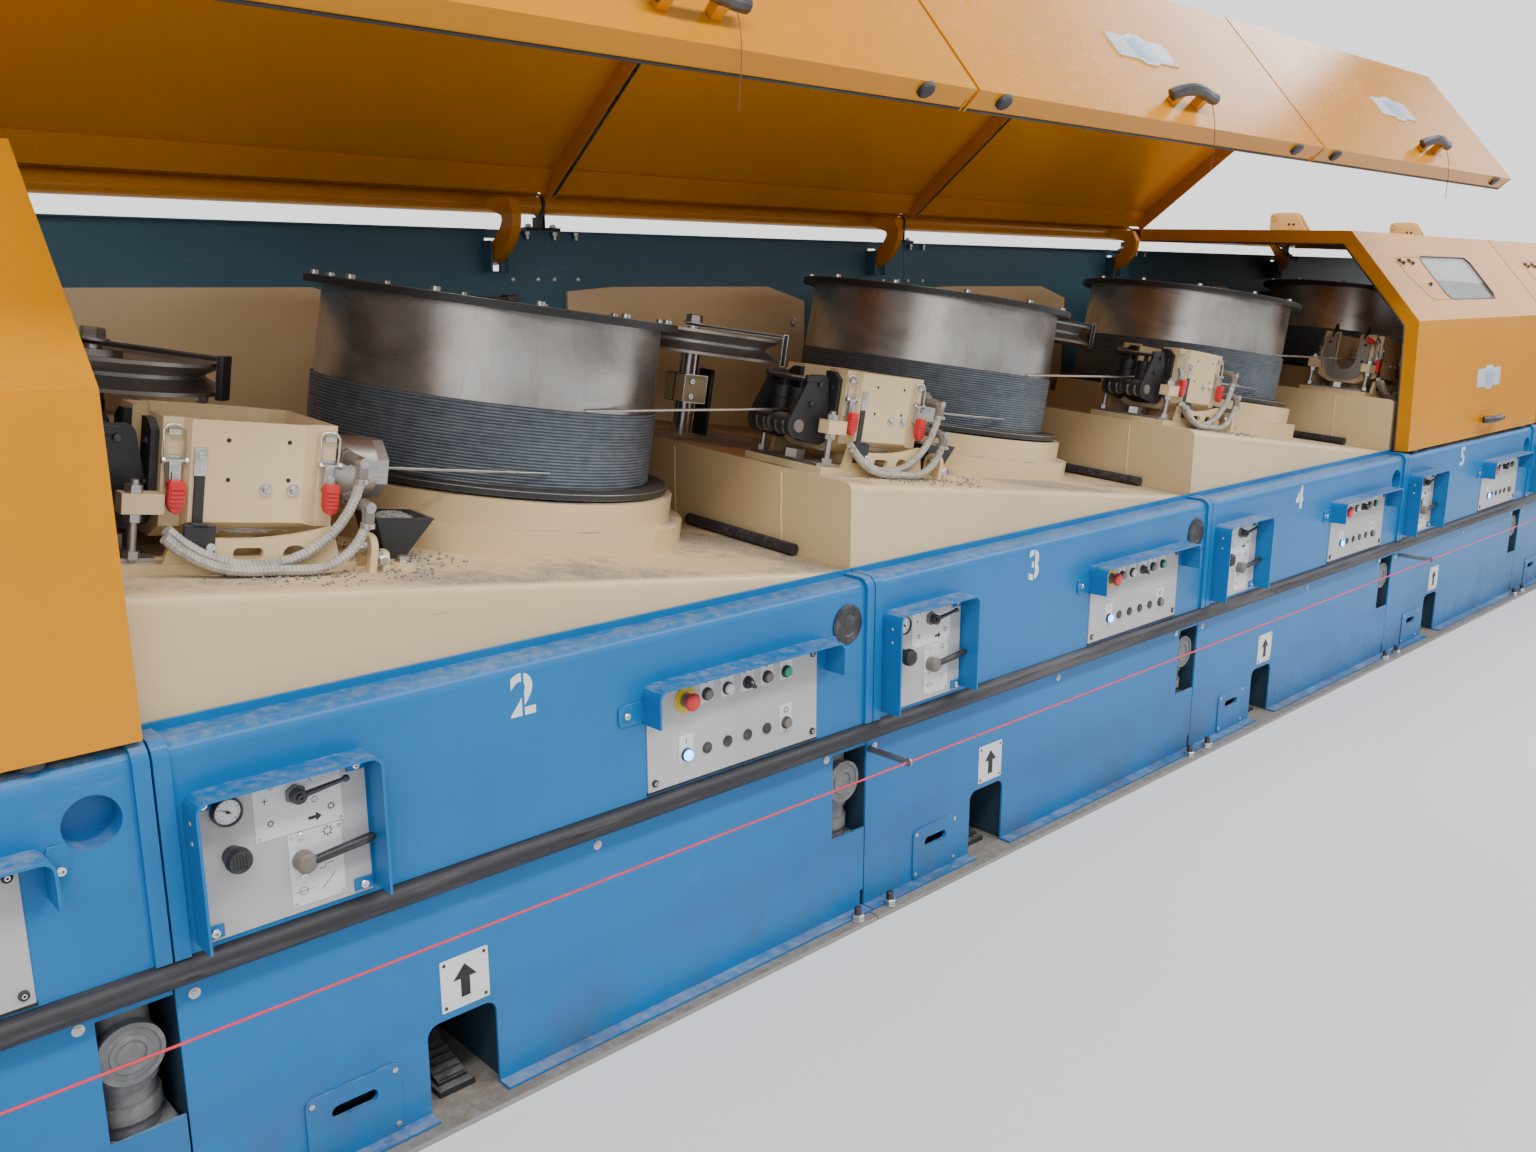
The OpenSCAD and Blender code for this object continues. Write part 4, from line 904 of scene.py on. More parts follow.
class WIRELINE_OT_lever_sets(bpy.types.Operator):
    """Fit the gauges, regulators, levers and their printed plates"""
    bl_idname = "wireline.lever_sets"
    bl_label = "Lever sets"

    def execute(self, context):
        whole = ("lever_controls",)

        def at(spot, out=PLATE):
            return fronts((spot,), out)

        gauge = turned("gauge", "black_plastic", [(0.0255, 0), (0.0255, 0.013), (0.0245, 0.0165),
                                                  (0.0222, 0.0165), (0.0215, 0.0115)], 32)
        dial = turned("dial", "white_plate", [(0.0212, 0.0118), (0.0212, 0.0124)], 32)
        ticks = []
        for i in range(13):
            angle = math.radians(225 - 270 * i / 12)
            near = 0.0155 if i % 3 == 0 else 0.0175
            tick = [(r * math.cos(angle), r * math.sin(angle), 0.0126) for r in (near, 0.0195)]
            ticks.append(line_mark(tick, 0.0010))
        needle = cut_plate("needle", "ink_and_painted_shade", ((-0.0012, -0.006), (0.0012, -0.006), (0.0003, 0.016),
                                             (-0.0003, 0.016)), 0.0132, 0.0138)
        moved(needle, turn(60, "Z"))
        boss = turned("boss", "ink_and_painted_shade", [(0.0028, 0.0124), (0.0026, 0.0150)], 12)
        fixed("gauges", gauge, at(GAUGE), whole)
        fixed("dials", dial, at(GAUGE))
        fixed("dial_marks", joined("dial_marks", ticks + [needle, boss]), at(GAUGE))
        knob = turned("knob", "black_plastic", [(0.0175, 0), (0.0175, 0.012), (0.0125, 0.013),
                                                (0.0125, 0.017), (0.0205, 0.018), (0.0212, 0.021),
                                                (0.0212, 0.035), (0.0190, 0.0385)], 32)
        squares = [block("square", "black_plastic", (x - 0.0019, y - 0.0019, 0.0378),
                         (x + 0.0019, y + 0.0019, 0.0402), 0.0004, 1)
                   for x in (-0.0105, -0.0052, 0, 0.0052, 0.0105)
                   for y in (-0.0105, -0.0052, 0, 0.0052, 0.0105) if math.hypot(x, y) < 0.0155]
        flutes = [moved(block("flute", "black_plastic", (-0.0007, 0.0205, 0.020), (0.0007, 0.0222, 0.034),
                              0.0003, 1), turn(15 * i, "Z")) for i in range(24)]
        fixed("regulator_knobs", joined("knob", [knob] + squares + flutes), at(KNOB), whole)
        for name, low, high in (("upper_plate", (0.150, 0.690), (0.305, 0.805)),
                                ("lower_plate", (0.203, 0.552), (0.300, 0.688))):
            wide, tall = (high[0] - low[0]) / 2, (high[1] - low[1]) / 2
            sheet = block(name, "white_plate", (-wide, -tall, 0), (wide, tall, PRINTED), 0.0006, 1)
            centre = ((low[0] + high[0]) / 2, (low[1] + high[1]) / 2)
            fixed(name, sheet, at(centre))
            corners = [p @ shift(sx * (wide - 0.006), sy * (tall - 0.006), PRINTED) for p in at(centre)
                       for sx in (-1, 1) for sy in (-1, 1)]
            fixed("plate_screws", turned("screw", "zinc", [(0.0032, 0), (0.0031, 0.001), (0.002, 0.0016)],
                                         12), corners)
        hub = joined("hub", [
            turned("nut", "grey_plastic", [(0.0185, 0), (0.0185, 0.008), (0.016, 0.0095)], 6),
            turned("hub", "black_plastic", [(0.0135, 0.008), (0.0135, 0.024), (0.0118, 0.026)], 24)])
        fixed("upper_hubs", hub, at(UPPER_LEVER), whole)
        arm = turned("arm", "dark_steel", [(0.0062, 0), (0.0055, 0.010), (0.0038, 0.074)], 12)
        tip = moved(ball("tip", "dark_steel", 0.0066), shift(0, 0, 0.079))
        lever = moved(joined("upper_lever", [arm, tip]), shift(0, 0, 0.020) @ turn(7, "Z") @ turn(90, "Y") @
                      shift(0, 0, 0.006))
        fixed("upper_levers", lever, at(UPPER_LEVER), whole)
        fixed("hub_screws", socket_screw("hub_screw", "dark_steel", 0.0065, 0.005),
              at(UPPER_LEVER, PLATE + 0.026))
        hub = turned("hub", "grey_plastic", [(0.0190, 0), (0.0190, 0.022), (0.0165, 0.026), (0.012, 0.028)],
                     32)
        arm = turned("arm", "black_plastic", [(0.0080, 0), (0.0085, 0.030), (0.0092, 0.100), (0.0086, 0.112),
                                              (0.0060, 0.118), (0.002, 0.1195)], 16)
        lever = moved(arm, shift(0, 0, 0.020) @ turn(6, "Z") @ turn(90, "Y") @ shift(0, 0, 0.008))
        fixed("lower_hubs", hub, at(LOWER_LEVER), whole)
        fixed("lower_levers", lever, at(LOWER_LEVER), whole)
        screw = socket_screw("lever_screw", "chrome", 0.0062, 0.005)
        fixed("lever_screws", screw, fronts(((0.226, 0.683), (0.226, 0.606)), PLATE + PRINTED))
        marks = [line_mark(circle_points(0.034, 9, (0, 0), 0, math.radians(25), math.radians(110)), 0.0013),
                 ring_mark(0.005, (0.034, -0.020)), ring_mark(0.004, (-0.040, 0.022)),
                 gear_mark_at(0.007, (0.062, -0.040)), gear_mark_at(0.006, (-0.045, -0.042))]
        for x, y in ((0.060, 0.026), (-0.052, 0.000)):
            marks += [line_mark([(x - 0.005, y, 0), (x + 0.005, y, 0)], 0.0018),
                      line_mark([(x, y - 0.005, 0), (x, y + 0.005, 0)], 0.0018)]
        marks.append(moved(cut_plate("mark", "ink_and_painted_shade", ((-0.010, -0.003), (0.004, -0.003), (0.004, -0.009),
                                                     (0.014, 0), (0.004, 0.009), (0.004, 0.003),
                                                     (-0.010, 0.003)), 0, 0.0006), shift(0.030, -0.052)))
        fixed("upper_marks", joined("upper_marks", marks), at(UPPER_LEVER, PLATE + 0.0013))
        marks = [gear_mark_at(0.010, (0.048, 0.040)), ring_mark(0.007, (-0.002, -0.058)),
                 line_mark([(-0.018, -0.058, 0), (0.016, -0.058, 0)], 0.0013),
                 line_mark([(0.030, -0.066, 0), (0.056, -0.040, 0)], 0.0016),
                 line_mark([(0.028, -0.026, 0), (0.040, -0.026, 0), (0.040, -0.020, 0), (0.056, -0.020, 0)],
                           0.0016)]
        fixed("lower_marks", joined("lower_marks", marks), at(LOWER_LEVER, PLATE + 0.0013))
        return {"FINISHED"}


def gear_mark_at(radius, centre):
    return moved(gear_mark(radius), shift(*centre))


class WIRELINE_OT_panel_fixings(bpy.types.Operator):
    """Add the panels' tabs and screws, the ports' plugs and the stencilled numbers"""
    bl_idname = "wireline.panel_fixings"
    bl_label = "Panel fixings"

    def execute(self, context):
        corners = ((1.003, 0.753), (1.485, 0.753), (1.003, 0.559), (1.485, 0.559))
        black = turned("corner", "black_plastic", [(0.0085, 0), (0.0082, 0.0035), (0.0055, 0.005),
                                                   (0.005, 0.003)], 18)
        fixed("corner_cups", black, fronts(corners))
        fixed("corner_screws", socket_screw("corner_screw", "chrome", 0.0045, 0.0055),
              fronts(corners))
        tabs = ((0.068, 0.786), (0.332, 0.786), (0.068, 0.558), (0.332, 0.558))
        tab = block("tab", "blue_paint", (-0.017, -0.012, 0), (0.017, 0.012, 0.004), 0.0015)
        fixed("shroud_tabs", tab, fronts(tabs))
        spots = fronts(tabs, PLATE + 0.004)
        spots += fronts(((0.376, 0.761), (1.556, 0.741), (0.930, 0.730)), 0.004)
        fixed("tab_screws", socket_screw("tab_screw", "chrome", 0.0078, 0.007), spots)
        rivets = [on_floor(k, 0.0400, -0.031, z) @ turn(-90, "Y") for k in range(UNITS)
                  for z in (0.770, 0.735)]
        fixed("cheek_rivets", ball("rivet", "zinc", 0.0045, 0.5, 4, 10), rivets)
        # Painted shadow: a dark strip along the lower edge of each button panel plate.
        shade = block("shade", "ink_and_painted_shade", (-0.260, -0.003, -0.001), (0.260, 0.003, 0.0032), 0.0005, 1)
        fixed("panel_shades", shade, every(lambda k: on_front(k, 1.2425, 0.538, 0)))
        plug = turned("port_plug", "black_plastic", [(0.050, 0), (0.050, 0.0035), (0.046, 0.006),
                                                     (0.030, 0.006), (0.027, 0.0035), (0.010, 0.003)], 40)
        fixed("port_plugs", plug, [on_front(k, 1.608, 0.802) for k in (1, 2)])
        for k in range(UNITS):
            figure = stencilled("number", str(k + 1), 0.088, 0.006)
            fixed(f"number_{k + 1}", figure, [on_front(k, 0.685, 0.828, 0.0002)])
        return {"FINISHED"}


class WIRELINE_OT_base_fixings(bpy.types.Operator):
    """Add the lower panels' screws, the arrows, pipe caps, pedals and floor anchors"""
    bl_idname = "wireline.base_fixings"
    bl_label = "Base fixings"

    def execute(self, context):
        screw = joined("screw", [turned("washer", "zinc", [(0.010, 0), (0.010, 0.0015), (0.009, 0.002)], 20),
                                 turned("head", "zinc", [(0.0065, 0.0015), (0.0063, 0.0035), (0.004, 0.005)],
                                        16)])
        spots = ((0.032, 0.453), (0.859, 0.456), (1.554, 0.461))
        fixed("panel_screws", screw, fronts(spots, -0.014))
        hatch = turned("hatch_screw", "zinc", [(0.006, 0), (0.0058, 0.002), (0.003, 0.003)], 16)
        spots = ((0.208, 0.150), (0.372, 0.150), (0.208, 0.034), (0.372, 0.034))
        fixed("hatch_screws", hatch, fronts(spots, -0.010))
        arrow = cut_plate("arrow", "ink_and_painted_shade", ((0, 0.036), (0.026, 0.006), (0.010, 0.006), (0.010, -0.034),
                                           (-0.010, -0.034), (-0.010, 0.006), (-0.026, 0.006)), 0, 0.0010)
        fixed("arrows", arrow, every(lambda k: on_front(k, *ARROW, -0.012)))
        fixed("arrow_screws", turned("arrow_screw", "dark_steel",
                                     [(0.0038, 0), (0.0036, 0.001), (0.002, 0.0016)], 12),
              [on_front(k, ARROW[0] + sx * 0.044, ARROW[1] + sz * 0.046, -0.012) for k in range(UNITS)
               for sx in (-1, 1) for sz in (-1, 1)])
        rings = [(0.0545, 0), (0.0545, 0.005), (0.047, 0.0055), (0.046, 0.002), (0.034, 0.0022),
                 (0.033, 0.0055), (0.025, 0.0055), (0.024, 0.002), (0.010, 0.002)]
        fixed("pipe_caps", turned("pipe_cap", "grey_pipe", rings, 40), fronts(((1.627, 0.381),), -0.0265))
        rib = block("rib", "black_rubber", (-0.030, -0.003, 0), (0.030, 0.003, 0.003), 0.001, 1)
        fixed("pedal_ribs", rib, [on_floor(k, 0.522, 0.050, 0.026) @
                                  shift(0, 0.022 + 0.020 * i, 0.0085 + 0.005 * i) @ turn(14, "X")
                                  for k in range(UNITS) for i in range(6)])
        anchor = joined("anchor", [
            turned("washer", "zinc", [(0.021, 0), (0.021, 0.003), (0.020, 0.0035)], 24),
            turned("nut", "zinc", [(0.0172, 0.003), (0.0172, 0.015), (0.015, 0.0165)], 6),
            turned("stud", "dark_steel", [(0.0095, 0.012), (0.0095, 0.034), (0.008, 0.036)], 14)])
        spots = [on_floor(k, x, y, 0.012) @ turn(31 * k + 70 * x, "Z") for k in range(UNITS)
                 for x in (0.062, 1.638) for y in (-0.025, 1.373)]
        fixed("anchors", anchor, spots)
        hook = bent_rod("cord_end", "zinc", [(0, 0, 0), (0.004, 0, 0.006), (0.012, 0, 0.008),
                                             (0.020, 0, 0.004), (0.024, 0, 0)], 0.0014, 6)
        fixed("cord_ends", hook, [shift(x, FRONT - CORD[0], CORD[1]) for x in (-5.088, 5.064)])
        screw = turned("side_screw", "zinc", [(0.008, 0), (0.0078, 0.002), (0.0045, 0.0045)], 16)
        rear = [shift(seam(k) + 0.030 + i * 0.830 + x, FRONT + REAR_FACE, z) @ turn(-90, "X")
                for k in range(UNITS) for i in (0, 1) for x in (0.020, 0.400, 0.780)
                for z in (0.110, 0.445, 0.780)]
        ends = [shift(side * END_FACE, FRONT + y, z) @ turn(90 * side, "Y") for side in (-1, 1)
                for y, z in ((0.06, 0.06), (0.06, 0.42), (0.09, 0.86), (0.72, 0.06), (0.72, 0.86),
                             (1.33, 0.06), (1.33, 0.46), (1.33, 0.86))]
        fixed("side_screws", screw, rear + ends)
        grip = bent_rod("pull", "black_plastic", [(0, 0, 0), (0, 0, 0.020), (0, 0.006, 0.028),
                                                  (0, 0.094, 0.028), (0, 0.100, 0.020), (0, 0.100, 0)], 0.005,
                        8)
        fixed("rear_pulls", grip, [shift(seam(k) + 0.110 + i * 0.830, FRONT + 1.3985, 0.50) @ turn(-90, "X")
                                   for k in range(UNITS) for i in (0, 1)])
        return {"FINISHED"}


class DieSettings(bpy.types.PropertyGroup):
    ribs: bpy.props.FloatProperty(name="Hose ribs", description="Distance between two ribs of a cooling hose",
                                  default=0.0075, min=0.005, max=0.03, unit="LENGTH")
    soap: bpy.props.FloatProperty(name="Soap height",
                                  description="Height of the soap heap above the box's floor", default=0.125,
                                  min=0.03, max=0.17, unit="LENGTH")


class WIRELINE_OT_latches(bpy.types.Operator):
    """Fit the toggle latches with their red grips"""
    bl_idname = "wireline.latches"
    bl_label = "Toggle latches"

    def execute(self, context):
        whole = ("toggle_latches",)
        places = [on_die(k, u, 0, 0) @ turn(180 * s, "Z") @ shift(0, -0.112) for k in range(UNITS)
                  for u in (-0.137, 0.140) for s in (0, 1)]
        steel = [block("plate", "zinc", (-0.013, -0.0045, 0.150), (0.013, -0.0004, 0.205), 0.001, 1),
                 block("body", "zinc", (-0.0105, -0.017, 0.148), (0.0105, -0.004, 0.196), 0.003),
                 block("tongue", "zinc", (-0.007, -0.022, 0.150), (0.007, -0.014, 0.178), 0.002),
                 moved(turned("pin", "zinc", [(0.003, -0.022), (0.003, 0.022)], 10), shift(0, -0.011, 0.196) @
                       turn(90, "Y"))]
        for side in (-1, 1):
            steel.append(moved(turned("nut", "zinc", [(0.0062, 0), (0.0062, 0.005)], 6),
                               shift(side * 0.019 - 0.0025, -0.011, 0.196) @ turn(90, "Y")))
            steel.append(moved(turned("bolt", "zinc", [(0.004, 0), (0.004, 0.003)], 8),
                               shift(0, -0.0045, 0.166 + side * 0.010) @ turn(90, "X")))
        loop = [(-0.016, -0.011, 0.196), (-0.0175, -0.009, 0.225), (-0.0185, -0.006, 0.246),
                (-0.012, -0.004, 0.2555), (0, -0.003, 0.2575), (0.012, -0.004, 0.2555),
                (0.0185, -0.006, 0.246), (0.0175, -0.009, 0.225), (0.016, -0.011, 0.196)]
        steel.append(bent_rod("loop", "zinc", loop, 0.0021, 8))
        steel.append(block("catch", "zinc", (-0.011, -0.010, 0.240), (0.011, -0.0004, 0.250), 0.002))
        fixed("latch_parts", joined("latch", steel), places, whole)
        outline = ((-0.014, 0.160), (-0.014, 0.122), (-0.009, 0.110), (0, 0.105), (0.009, 0.110),
                   (0.014, 0.122), (0.014, 0.160), (0.010, 0.164), (-0.010, 0.164))
        grip = [moved(cut_plate("grip", "red_grip", outline, 0.016, 0.033, 0.0022), turn(90, "X"))]
        grip += [block("rib", "red_grip", (-0.0118, -0.0350, 0.118 + 0.0075 * i),
                       (0.0118, -0.032, 0.1215 + 0.0075 * i), 0.0008, 1) for i in range(5)]
        fixed("latch_grips", joined("grip", grip), places, whole)
        return {"FINISHED"}


def hose_path(x, high, low, flat, rise, v):
    """A hose's middle line: down from its elbow, level along the bed and up behind the stud."""
    radius = high - low
    points = [(x, v, high + 0.004)]
    points += [(x - radius + radius * math.cos(math.radians(a)), v, high - radius * math.sin(math.radians(a)))
               for a in range(0, 91, 9)]
    points += [(x - radius - flat - rise * math.sin(math.radians(a)), v,
                low + rise - rise * math.cos(math.radians(a))) for a in range(0 if flat else 9, 46, 9)]
    return points


class WIRELINE_OT_hoses(bpy.types.Operator):
    """Hang the ribbed cooling hoses from their elbows"""
    bl_idname = "wireline.hoses"
    bl_label = "Cooling hoses"

    def execute(self, context):
        step = context.scene.wire_die.ribs
        for name, x, high, path in (("front", 0.195, 0.120,
                                     hose_path(0.195, 0.120, 0.012, 0.107, 0.208, -0.181)),
                                    ("rear", 0.187, 0.200,
                                     hose_path(0.187, 0.200, 0.016, 0.0, 0.225, -0.158))):
            v = path[0][1]
            tube = bent_rod("hose", "clear_hose", path, 0.0096, 12)
            fixed(f"{name}_hoses", tube, dies(), ("cooling_hoses",))
            rib = bent_rod("rib", "clear_hose", circle_points(0.0098, 10), 0.0009, 4, closed=True)
            ribs = repeated("ribs", rib, along(path, step))
            fixed(f"{name}_hose_ribs", ribs, dies(), ("cooling_hoses",))
            elbow = bent_rod("elbow", "grey_plastic", [(x, -0.060, high + 0.010),
                                                       (x, v + 0.016, high + 0.010),
                                                       (x, v + 0.005, high + 0.006), (x, v, high - 0.006),
                                                       (x, v, high - 0.024)], 0.0122, 12)
            collar = moved(turned("collar", "grey_plastic", [(0.0165, 0), (0.0165, 0.014), (0.014, 0.016)],
                                  6), shift(x, -0.085, high + 0.010) @ turn(90, "X"))
            fixed(f"{name}_elbows", joined("elbow", [elbow, collar]), dies())
            clamp = turned("clamp", "zinc", [(0.0140, 0), (0.0140, 0.009)], 24)
            clamp = joined("clamp", [clamp, block("clamp_lug", "zinc", (-0.004, -0.020, 0.001),
                                                  (0.004, -0.012, 0.008), 0.001, 1)])
            fixed(f"{name}_clamps", clamp, every(lambda k: on_die(k, x, v, high - 0.030)))
        return {"FINISHED"}


class WIRELINE_OT_die_fittings(bpy.types.Operator):
    """Add the die boxes' straps, bolts and soap, and the cassettes' fittings"""
    bl_idname = "wireline.die_fittings"
    bl_label = "Die box fittings"

    def execute(self, context):
        home = dies()
        # Painted shade: dark discs stand for the shaded insides of the box's holes.
        holes = [moved(turned("hole", "ink_and_painted_shade", [(0.0042, 0), (0.0042, 0.0004)], 14), shift(u, -0.130, w) @
                       turn(90, "X")) for u, w in ((-0.050, 0.236), (0.058, 0.237), (-0.048, 0.166),
                                                   (0.060, 0.168))]
        fixed("box_holes", joined("holes", holes), home)
        steel = [block("strap_top", "zinc", (-0.108, -0.1345, 0.172), (-0.086, -0.1295, 0.222), 0.0015),
                 moved(turned("strap_bolt", "zinc", [(0.006, 0), (0.006, 0.004), (0.004, 0.005)], 6),
                       shift(-0.097, -0.1345, 0.208) @ turn(90, "X"))]
        steel += [moved(turned("dimple", "zinc", [(0.0016, 0), (0.001, 0.0008)], 8),
                        shift(-0.1025 + 0.0055 * (i % 3), -0.1345, 0.180 + 0.006 * (i // 3)) @ turn(90, "X"))
                  for i in range(9)]
        fixed("strap_tops", joined("strap_top", steel), home)
        strap = [block("strap", "black_steel", (-0.106, -0.1340, 0.088), (-0.088, -0.1298, 0.174), 0.001, 1),
                 block("strap_step", "black_steel", (-0.110, -0.1490, 0.082), (-0.084, -0.1298, 0.090), 0.001,
                       1), block("strap_foot", "black_steel", (-0.124, -0.1490, 0.034),
                                 (-0.070, -0.1440, 0.088), 0.001, 1)]
        fixed("straps", joined("strap", strap), home)
        spots = [on_die(k, u, -0.149, 0.050) @ turn(90, "X") for k in range(UNITS) for u in (-0.114, -0.080)]
        fixed("strap_bolts", socket_screw("strap_bolt", "chrome", 0.0078, 0.008), spots)
        bolts = [on_die(k, u, v, w) @ turn(t, a) for k in range(UNITS) for u, v, w, t,
                 a in ((0.213, -0.140, 0.046, -90, "Y"), (0.297, -0.138, 0.014, 0, "Z"),
                       (0.245, -0.150, 0.022, 90, "X"))]
        fixed("ear_bolts", hex_bolt("ear_bolt", "zinc", 0.011, 0.012, 0.017), bolts)
        for s in (-1, 1):
            fixed("box_bosses", hex_bolt("boss", "zinc", 0.008, 0.007, 0.012),
                  [on_die(k, u, s * 0.130, 0.150) @ turn(-90 * s, "X") for k in range(UNITS)
                   for u in (0.020, 0.070)])
        heap = mound("soap_heap", "soap", (0.080, 0.074, context.scene.wire_die.soap), 0.003, 3)
        layer = mound("soap_layer", "soap", (0.165, 0.100, 0.045), 0.002, 5)
        moved(heap, shift(0.050, 0.026, 0.066))
        moved(layer, shift(0, 0, 0.066))
        soap = joined("soap", [heap, layer])
        bounded(soap, 0.144, 0.100)
        fixed("soap_heaps", soap, home)
        heap = moved(mound("tray_heap", "granules", (0.052, 0.040, 0.026), 0.0025, 8),
                     shift(0.327, -0.020, 0.066))
        fixed("tray_heaps", heap, home)
        inlet = [on_die(k, -0.1695, v, w) @ turn(-90, "Y") for k in range(UNITS) for v, w in
                 ((-0.078, 0.150), (0.078, 0.150), (-0.078, 0.222), (0.078, 0.222))]
        fixed("inlet_screws", socket_screw("inlet_screw", "dark_steel", 0.0065, 0.005), inlet)
        thread = bent_rod("thread", "dark_steel", [(WIRE_FROM, 0, WIRE_UP), (WIRE_TO, 0, WIRE_UP)], 0.0038, 8)
        fixed("coated_wire", thread, home)
        x, z = -0.277, 0.1132
        parts = [moved(turned("pin_head", "grey_plastic", [(0.017, 0), (0.017, 0.006), (0.015, 0.008)], 28),
                       shift(x, s * 0.0772, z) @ turn(-90 * s, "X")) for s in (-1, 1)]
        fixed("pin_heads", joined("pin_heads", parts), dies(WITH_CASSETTE))
        parts = [moved(spun("pale_ring", "zinc", ((0.0262, -0.003), (0.0278, -0.003), (0.0278, 0.003),
                                                  (0.0262, 0.003)), 28), shift(x, v, z) @ turn(90, "X"))
                 for v in (-0.050, -0.022, 0.022, 0.050)]
        fixed("pale_rings", joined("pale_rings", parts), dies(WITH_CASSETTE))
        bar = block("top_bar", "chrome", (x + 0.006, -0.070, z + 0.1215), (x + 0.072, 0.070, z + 0.1265),
                    0.002)
        ends = [block("bar_end", "black_steel", (x + 0.010, s * 0.074 - 0.006, z + 0.115),
                      (x + 0.068, s * 0.074 + 0.006, z + 0.132), 0.003) for s in (-1, 1)]
        fixed("top_bars", joined("top_bar", [bar] + ends), dies(WITH_CASSETTE))
        parts = [moved(turned("side_bolt", "dark_steel", [(0.007, 0), (0.007, 0.006), (0.005, 0.007)], 6),
                       shift(x + du, s * 0.0772, z + dw) @ turn(-90 * s, "X"))
                 for s in (-1, 1) for du, dw in ((0.078, -0.010), (0.060, 0.112), (0.036, 0.060))]
        fixed("side_bolts", joined("side_bolts", parts), dies(WITH_CASSETTE))
        outline = ((-0.024, 0), (0.020, 0), (0.022, 0.030), (0.012, 0.058), (0.004, 0.060), (-0.004, 0.050),
                   (-0.020, 0.016))
        fins = [moved(cut_plate("fin", "dark_steel", outline, -0.004, 0.004, 0.0015),
                      shift(-0.156, v, 0.246) @ turn(90, "X")) for v in (-0.070, 0.070)]
        fixed("inlet_fins", joined("fins", fins), [on_die(k, 0, 0, 0) for k in WITH_FINS])
        grip = cut_plate("open_grip", "red_grip", ((0, -0.013), (0.044, -0.011), (0.056, -0.004),
                                                   (0.056, 0.004), (0.044, 0.011), (0, 0.013)), 0, 0.014,
                         0.003)
        arm = bent_rod("open_arm", "zinc", [(-0.045, 0, 0.004), (-0.020, 0, 0.006), (0.004, 0, 0.007)], 0.005,
                       8)
        fixed("open_latches", joined("open_latch", [grip, arm]),
              [on_die(k, -0.186, -0.112, 0.226) @ turn(180, "Z") @ turn(-14, "Y") for k in WITH_FINS])
        return {"FINISHED"}


def bounded(piece, half_length, half_width):
    """Cuts a heap off upright where its box's walls stand."""
    only(piece)
    with editing():
        for way, reach in (((1, 0, 0), half_length), ((-1, 0, 0), half_length), ((0, 1, 0), half_width),
                           ((0, -1, 0), half_width)):
            bpy.ops.mesh.select_all(action="SELECT")
            bpy.ops.mesh.bisect(plane_co=[c * reach for c in way], plane_no=way, use_fill=True,
                                clear_outer=True)
    return piece


class WIRELINE_OT_granules(bpy.types.Operator):
    """Spill soap granules on the beds"""
    bl_idname = "wireline.granules"
    bl_label = "Spilt granules"

    def execute(self, context):
        settings = context.scene.wire_line
        chance = random.Random(settings.seed)
        deselect()
        bpy.ops.mesh.primitive_ico_sphere_add(subdivisions=1, radius=0.0034)
        grain = named("grain", "granules")
        only(grain)
        with editing():
            bpy.ops.transform.vertex_random(offset=0.0006, uniform=1.0, normal=0.0, seed=2)
        places = []
        for _ in range(max(1, settings.granules // 4)):
            size = chance.uniform(0.5, 1.25)
            where = shift(chance.gauss(0, 0.055), chance.gauss(0, 0.035), 0.0013 * size)
            places.append(where @ turn(chance.uniform(0, 360), "Z") @ Matrix.Scale(size, 4))
        pinch = repeated("pinch", grain, places)
        spots = []
        for k in range(UNITS):
            for x, y, most in ((0.50, 0.21, 0.03), (0.62, 0.30, 0.02), (0.32, 0.17, 0.03),
                               (0.42, 0.50, 0.05)):
                spots.append(on_bed(k, x + chance.uniform(-most, most), y + chance.uniform(-0.02, 0.02)) @
                             turn(chance.uniform(-25, 25), "Z"))
        fixed("granules", pinch, spots)
        return {"FINISHED"}


